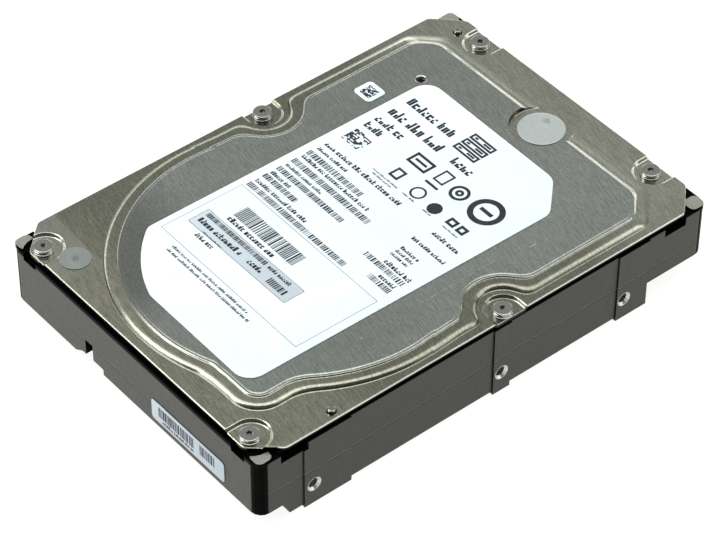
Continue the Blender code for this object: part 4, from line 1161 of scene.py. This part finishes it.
def strip_label():
    """The grey-blue strip in the main label's window."""
    top = STRIP_TOP - PRINT
    strip = flat("strip_sheet", rectangle((-25.6, -35.7), (13.1, -29.3), 0.35), LABEL_BOTTOM, top, 0.03)
    piece("strip_sheet", strip, "strip_paper", ["strip_label"])
    marks = Print(top, 13)
    marks.code(-24.4, -0.2, -31.3, -29.8, 0.16)
    marks.words(0.6, 9.7, -31.2, -29.9)
    marks.words(-24.3, -6.6, -34.0, -32.2)
    marks.words(-4.3, 1.9, -34.0, -32.2)
    marks.code(4.2, 11.5, -34.6, -32.5, 0.22)
    marks.piece("strip_print", "label_ink")


def square_label():
    """The square sticker with its pattern of cells."""
    (x0, y0, z0), (x1, y1, z1) = span("code_sticker")
    sticker = flat("square_sticker", rectangle((x0, y0), (x1, y1), 1.3), z0, z1 - PRINT, 0.02)
    piece("square_sticker", sticker, "label_paper", ["code_sticker"])
    marks = Print(z1 - PRINT, 14)
    marks.cells(x0 + 1.35, y0 + 1.2, 0.28, 14, 14)
    marks.piece("square_sticker_print", "label_ink")


def front_label():
    """The bar code label on the front wall, made flat and stood up against it."""
    (x0, y0, z0), (x1, y1, z1) = span("front_barcode_label")
    thick = y1 - y0 - PRINT
    upright = Matrix.Translation((0.0, y1, 0.0)) @ Matrix.Rotation(math.radians(90), 4, "X")
    sheet = flat("front_sheet", rectangle((x0, z0), (x1, z1), 1.0), 0.0, thick, 0.02, upright)
    piece("front_sheet", sheet, "label_paper", ["front_barcode_label"], "strip_paper")
    marks = Print(thick, 15)
    marks.code(11.0, 25.5, 8.9, 12.2)
    marks.code(27.5, 34.0, 8.9, 12.2)
    marks.words(12.5, 25.0, 7.5, 8.5)
    marks.piece("front_sheet_print", "label_ink", upright)


# ---- connector end and board


PLUG_PITCH = 1.27
PIN_PITCH = 2.0
PAD_COUNT = 105
SCREW_CLEARANCE = 4.0
MOTOR_CLEARANCE = 22.5


def contacts():
    """Gold contacts on the plug's two tongues, and gold sleeves on the jumper pins."""
    (x0, _, z0), (_, _, z1) = span("interface_connector")
    level = (z0 + z1) / 2 + 0.6
    work = bmesh.new()
    for first, count in ((x0 + 5.9, 7), (x0 + 20.4, 15)):
        for k in range(count):
            x = first + PLUG_PITCH * k
            add_slab(work, rectangle((x - 0.4, 67.4), (x + 0.4, 72.9)), level - 0.06, level + 0.03)
    piece("plug_contacts", mesh_of(work, "plug_contacts"), "black_plastic", (), "gold_plate")
    work = bmesh.new()
    half = 0.27
    for column in range(4):
        for row in range(2):
            x, z = -11.3 + PIN_PITCH * column, 5.4 + PIN_PITCH * row
            add_slab(work, rectangle((x - half, 70.02), (x + half, 73.24)), z - half, z + half)
    piece("jumper_pins", mesh_of(work, "jumper_pins"), "black_plastic", (), "gold_plate")


def board_pads():
    """Test pads, vias and traces on the board's bare underside, clear of its screws and the motor."""
    chance = random.Random(5)
    low = span("circuit_board")[0][2]
    pads = bmesh.new()
    traces = bmesh.new()
    obstacles = [(*centre(name), SCREW_CLEARANCE) for name in numbered("board_screw", 4)]
    obstacles.append((*SPINDLE, MOTOR_CLEARANCE))
    taken = list(obstacles)
    while len(taken) < len(obstacles) + PAD_COUNT:
        x, y = chance.uniform(-40.0, 40.0), chance.uniform(-13.0, 69.0)
        radius = chance.choice((0.3, 0.3, 0.45, 0.7))
        if any(math.dist((x, y), (a, b)) < radius + reach + 0.9 for a, b, reach in taken):
            continue
        taken.append((x, y, radius))
        add_slab(pads, circle((x, y), radius, 20), low - 0.03, low + 0.02)
        run = chance.uniform(2.0, 9.0) * chance.choice((-1, 1))
        ends = (x + run, y) if chance.random() < 0.5 else (x, y + run)
        if abs(ends[0]) > 41.0 or not -14.0 < ends[1] < 70.0:
            continue
        if any(math.dist(ends, (a, b)) < reach + 0.5 for a, b, reach in obstacles):
            continue
        x0, x1 = sorted((x, ends[0]))
        y0, y1 = sorted((y, ends[1]))
        add_slab(traces, rectangle((x0 - 0.11, y0 - 0.11), (x1 + 0.11, y1 + 0.11)), low - 0.012, low + 0.02)
    piece("board_pads", mesh_of(pads, "board_pads"), "solder_mask", (), "gold_plate")
    piece("board_traces", mesh_of(traces, "board_traces"), "solder_mask", (), "masked_copper")


# ---- softened CAD nodes


# The width of the rounded edges, and the nodes that have them.
SOFTENED = {
    0.08: ("jumper_pin_block",),
    0.10: ("controller_chip", "memory_chip", "motor_driver_chip"),
    0.12: ("interface_connector", "arm_block", "load_ramp", "disk_clamp"),
    0.15: ("actuator_latch", "yoke_upper", "yoke_lower", "platter_spacer"),
    0.20: ("flex_bracket", "magnet_upper", "magnet_lower", "spindle_hub", "motor_flange", "crash_stop"),
    0.22: ("base_casting",),
    0.30: ("recirculation_filter", "breather_filter"),
    0.40: ("voice_coil",),
}


def soften(node, width):
    """Merges a node's flat facets and rounds its sharp edges."""
    merge = node.modifiers.new("merge", "DECIMATE")
    merge.decimate_type = "DISSOLVE"
    merge.angle_limit = math.radians(0.5)
    edge = node.modifiers.new("edge", "BEVEL")
    edge.width = width * MM
    edge.segments = 2
    edge.limit_method = "ANGLE"
    edge.angle_limit = math.radians(40)
    edge.harden_normals = True


def soften_nodes():
    for width, names in SOFTENED.items():
        for name in names:
            soften(frame["nodes"][name], width)


# ---- the scene


FINISHES = {}

# Metals: dark and light tones, roughness and grain.
PLATED = {
    "screw_plate": ((0.30, 0.30, 0.275), (0.44, 0.44, 0.41), 0.2, (4.0, 4.0, 4.0)),
    "bright_steel": ((0.42, 0.42, 0.40), (0.58, 0.58, 0.55), 0.16),
    "pin_steel": ((0.26, 0.26, 0.24), (0.42, 0.42, 0.40), 0.14),
    "machined_aluminium": ((0.62, 0.63, 0.64), (0.8, 0.81, 0.82), 0.28, (0.4, 0.4, 5.0)),
    "yoke_plate": ((0.5, 0.5, 0.48), (0.66, 0.66, 0.63), 0.28),
    "magnet_plate": ((0.42, 0.42, 0.42), (0.58, 0.58, 0.57), 0.32),
    "flex_film": ((0.36, 0.17, 0.04), (0.58, 0.31, 0.09), 0.3),
    "gold_plate": ((0.72, 0.52, 0.22), (0.86, 0.65, 0.32), 0.22),
    "suspension_steel": ((0.55, 0.55, 0.54), (0.74, 0.74, 0.73), 0.22, (3.0, 3.0, 0.5)),
}
# Plastic, rubber, foam and mask: colour, roughness, grain, and the grain's depth and gloss.
MOULDED = {
    "gasket_rubber": ((0.004, 0.004, 0.004), 0.8, 3.0, 0.012, 0.04),
    "grey_foam": ((0.10, 0.10, 0.105), 0.95, 1.5, 0.15),
    "chip_epoxy": ((0.022, 0.022, 0.024), 0.55, 4.0),
    "black_plastic": ((0.016, 0.016, 0.017), 0.42),
    "ivory_plastic": ((0.68, 0.63, 0.52), 0.45),
    "filter_fibre": ((0.78, 0.78, 0.73), 0.95, 2.0, 0.12),
    "stop_rubber": ((0.02, 0.02, 0.02), 0.8),
    "masked_copper": ((0.03, 0.17, 0.09), 0.3),
}
# Foils: dark and light tones, and the place of the smudge.
FOILS = {
    "silver_foil": ((0.40, 0.445, 0.43), (0.50, 0.545, 0.53), (1.9, 61.2, 24.7)),
    "grey_foil": ((0.20, 0.225, 0.215), (0.27, 0.30, 0.29), (*SMALL_SEAL, 24.8)),
}
INKS = {
    "label_ink": ((0.018, 0.02, 0.026), (0.10, 0.11, 0.13)),
    "grey_ink": ((0.16, 0.17, 0.18), (0.24, 0.25, 0.26)),
}
PAPERS = {"label_paper": ((0.76, 0.86, 0.92),), "strip_paper": ((0.50, 0.58, 0.63),)}


def make_finishes():
    """One material for each slot of the record, and the others that pieces use."""
    kinds = ((plated, PLATED), (moulded, MOULDED), (foil, FOILS), (ink, INKS), (label_stock, PAPERS))
    for make, recipes in kinds:
        FINISHES.update({name: make(name, *values) for name, values in recipes.items()})
    FINISHES.update(casting=casting_black(), cover_steel=cover_steel(), solder_mask=solder_mask())
    FINISHES.update(copper_wire=wound_copper(), platter_mirror=mirror(), gasket=FINISHES["gasket_rubber"])


def dress_nodes():
    """Gives each CAD node the material of its slot."""
    for subpart in frame["record"]["subparts"]:
        node = frame["nodes"][subpart["node"]]
        if not node.material_slots:
            node.data.materials.append(None)
        for holder in node.material_slots:
            holder.material = FINISHES[subpart["material_slot"]]


# The camera, in metres and degrees.
CAMERA_PLACE = (0.470206, -0.392408, 0.586845)
CAMERA_YAW = math.radians(-50.19)
CAMERA_PITCH = math.radians(-43.44)
CAMERA_ROLL = math.radians(0.45)
FOCAL_LENGTH = 163.7
SENSOR_WIDTH = 36.0

# The sky's strength, and its level at degrees from the far horizon over the top to the near one.
SKY_STRENGTH = 3.0
SKY = (
    (0, 0.9), (15, 0.85), (24, 0.16), (58, 0.17), (67, 0.80), (96, 0.86), (106, 0.05), (150, 0.03),
    (166, 0.35),
)

# The lamp on the left, in metres and watts.
LAMP_PLACE = Vector((-0.5, -0.6, 0.9))
LAMP_SIZE = 0.5
LAMP_POWER = 4.6


def studio():
    """A pale floor, a soft sky and a lamp on the left."""
    work = bmesh.new()
    bmesh.ops.create_grid(work, x_segments=8, y_segments=8, size=1500.0)
    floor = linked("floor", mesh_of(work, "floor"))
    floor.data.materials.append(floor_white())
    soft_sky()
    lamp = bpy.data.lights.new("left_key", "AREA")
    lamp.shape = "SQUARE"
    lamp.size = LAMP_SIZE
    lamp.energy = LAMP_POWER
    lamp.specular_factor = 0.3
    obj = linked("left_key", lamp)
    obj.location = LAMP_PLACE
    obj.rotation_euler = (-LAMP_PLACE).to_track_quat("-Z", "Y").to_euler()


def soft_sky():
    """Light that changes from the far horizon, over the top, to the horizon behind the camera."""
    world = bpy.data.worlds.new("studio")
    bpy.context.scene.world = world
    world.use_nodes = True
    nodes = Nodes(world.node_tree)
    place = nodes.add("ShaderNodeTexCoord").outputs["Generated"]
    view = (math.sin(CAMERA_YAW), math.cos(CAMERA_YAW), 0.0)
    ahead = nodes.add("ShaderNodeVectorMath", {0: place, 1: view}, operation="DOT_PRODUCT").outputs["Value"]
    up = nodes.add("ShaderNodeSeparateXYZ", {0: place}).outputs["Z"]
    share = nodes.math("ARCTAN2", up, ahead).math("DIVIDE", math.pi)
    ramp = nodes.add("ShaderNodeValToRGB", {0: share})
    nodes.put(nodes.tree.nodes["Background"], {"Color": ramp.outputs["Color"], "Strength": SKY_STRENGTH})
    steps = ramp.color_ramp.elements
    while len(steps) < len(SKY):
        steps.new(0.5)
    for step, (degrees, level) in zip(steps, SKY):
        step.position = degrees / 180
        step.color = (level, level, level * 0.99, 1.0)


def camera():
    """Looks down on the front corner with a long lens."""
    level = math.cos(CAMERA_PITCH)
    toward = Vector((math.sin(CAMERA_YAW) * level, math.cos(CAMERA_YAW) * level, math.sin(CAMERA_PITCH)))
    lens = bpy.data.cameras.new("camera")
    lens.lens = FOCAL_LENGTH
    lens.sensor_width = SENSOR_WIDTH
    lens.clip_start = 0.01
    obj = linked("camera", lens)
    turn = toward.to_track_quat("-Z", "Y").to_matrix() @ Matrix.Rotation(CAMERA_ROLL, 3, "Z")
    obj.matrix_world = Matrix.Translation(CAMERA_PLACE) @ turn.to_4x4()
    bpy.context.scene.camera = obj


def build():
    bpy.context.scene.view_settings.view_transform = "Standard"
    make_finishes()
    dress_nodes()
    soften_nodes()
    piece("pressed_cover", fine_cover(), "cover_steel", ["top_cover"])
    fasteners()
    seal("large_foil", "large_round_seal", LARGE_FOIL, "silver_foil")
    seal("small_foil", "small_round_seal", SMALL_FOIL, "grey_foil")
    main_label()
    strip_label()
    square_label()
    front_label()
    contacts()
    board_pads()
    studio()
    camera()


build()
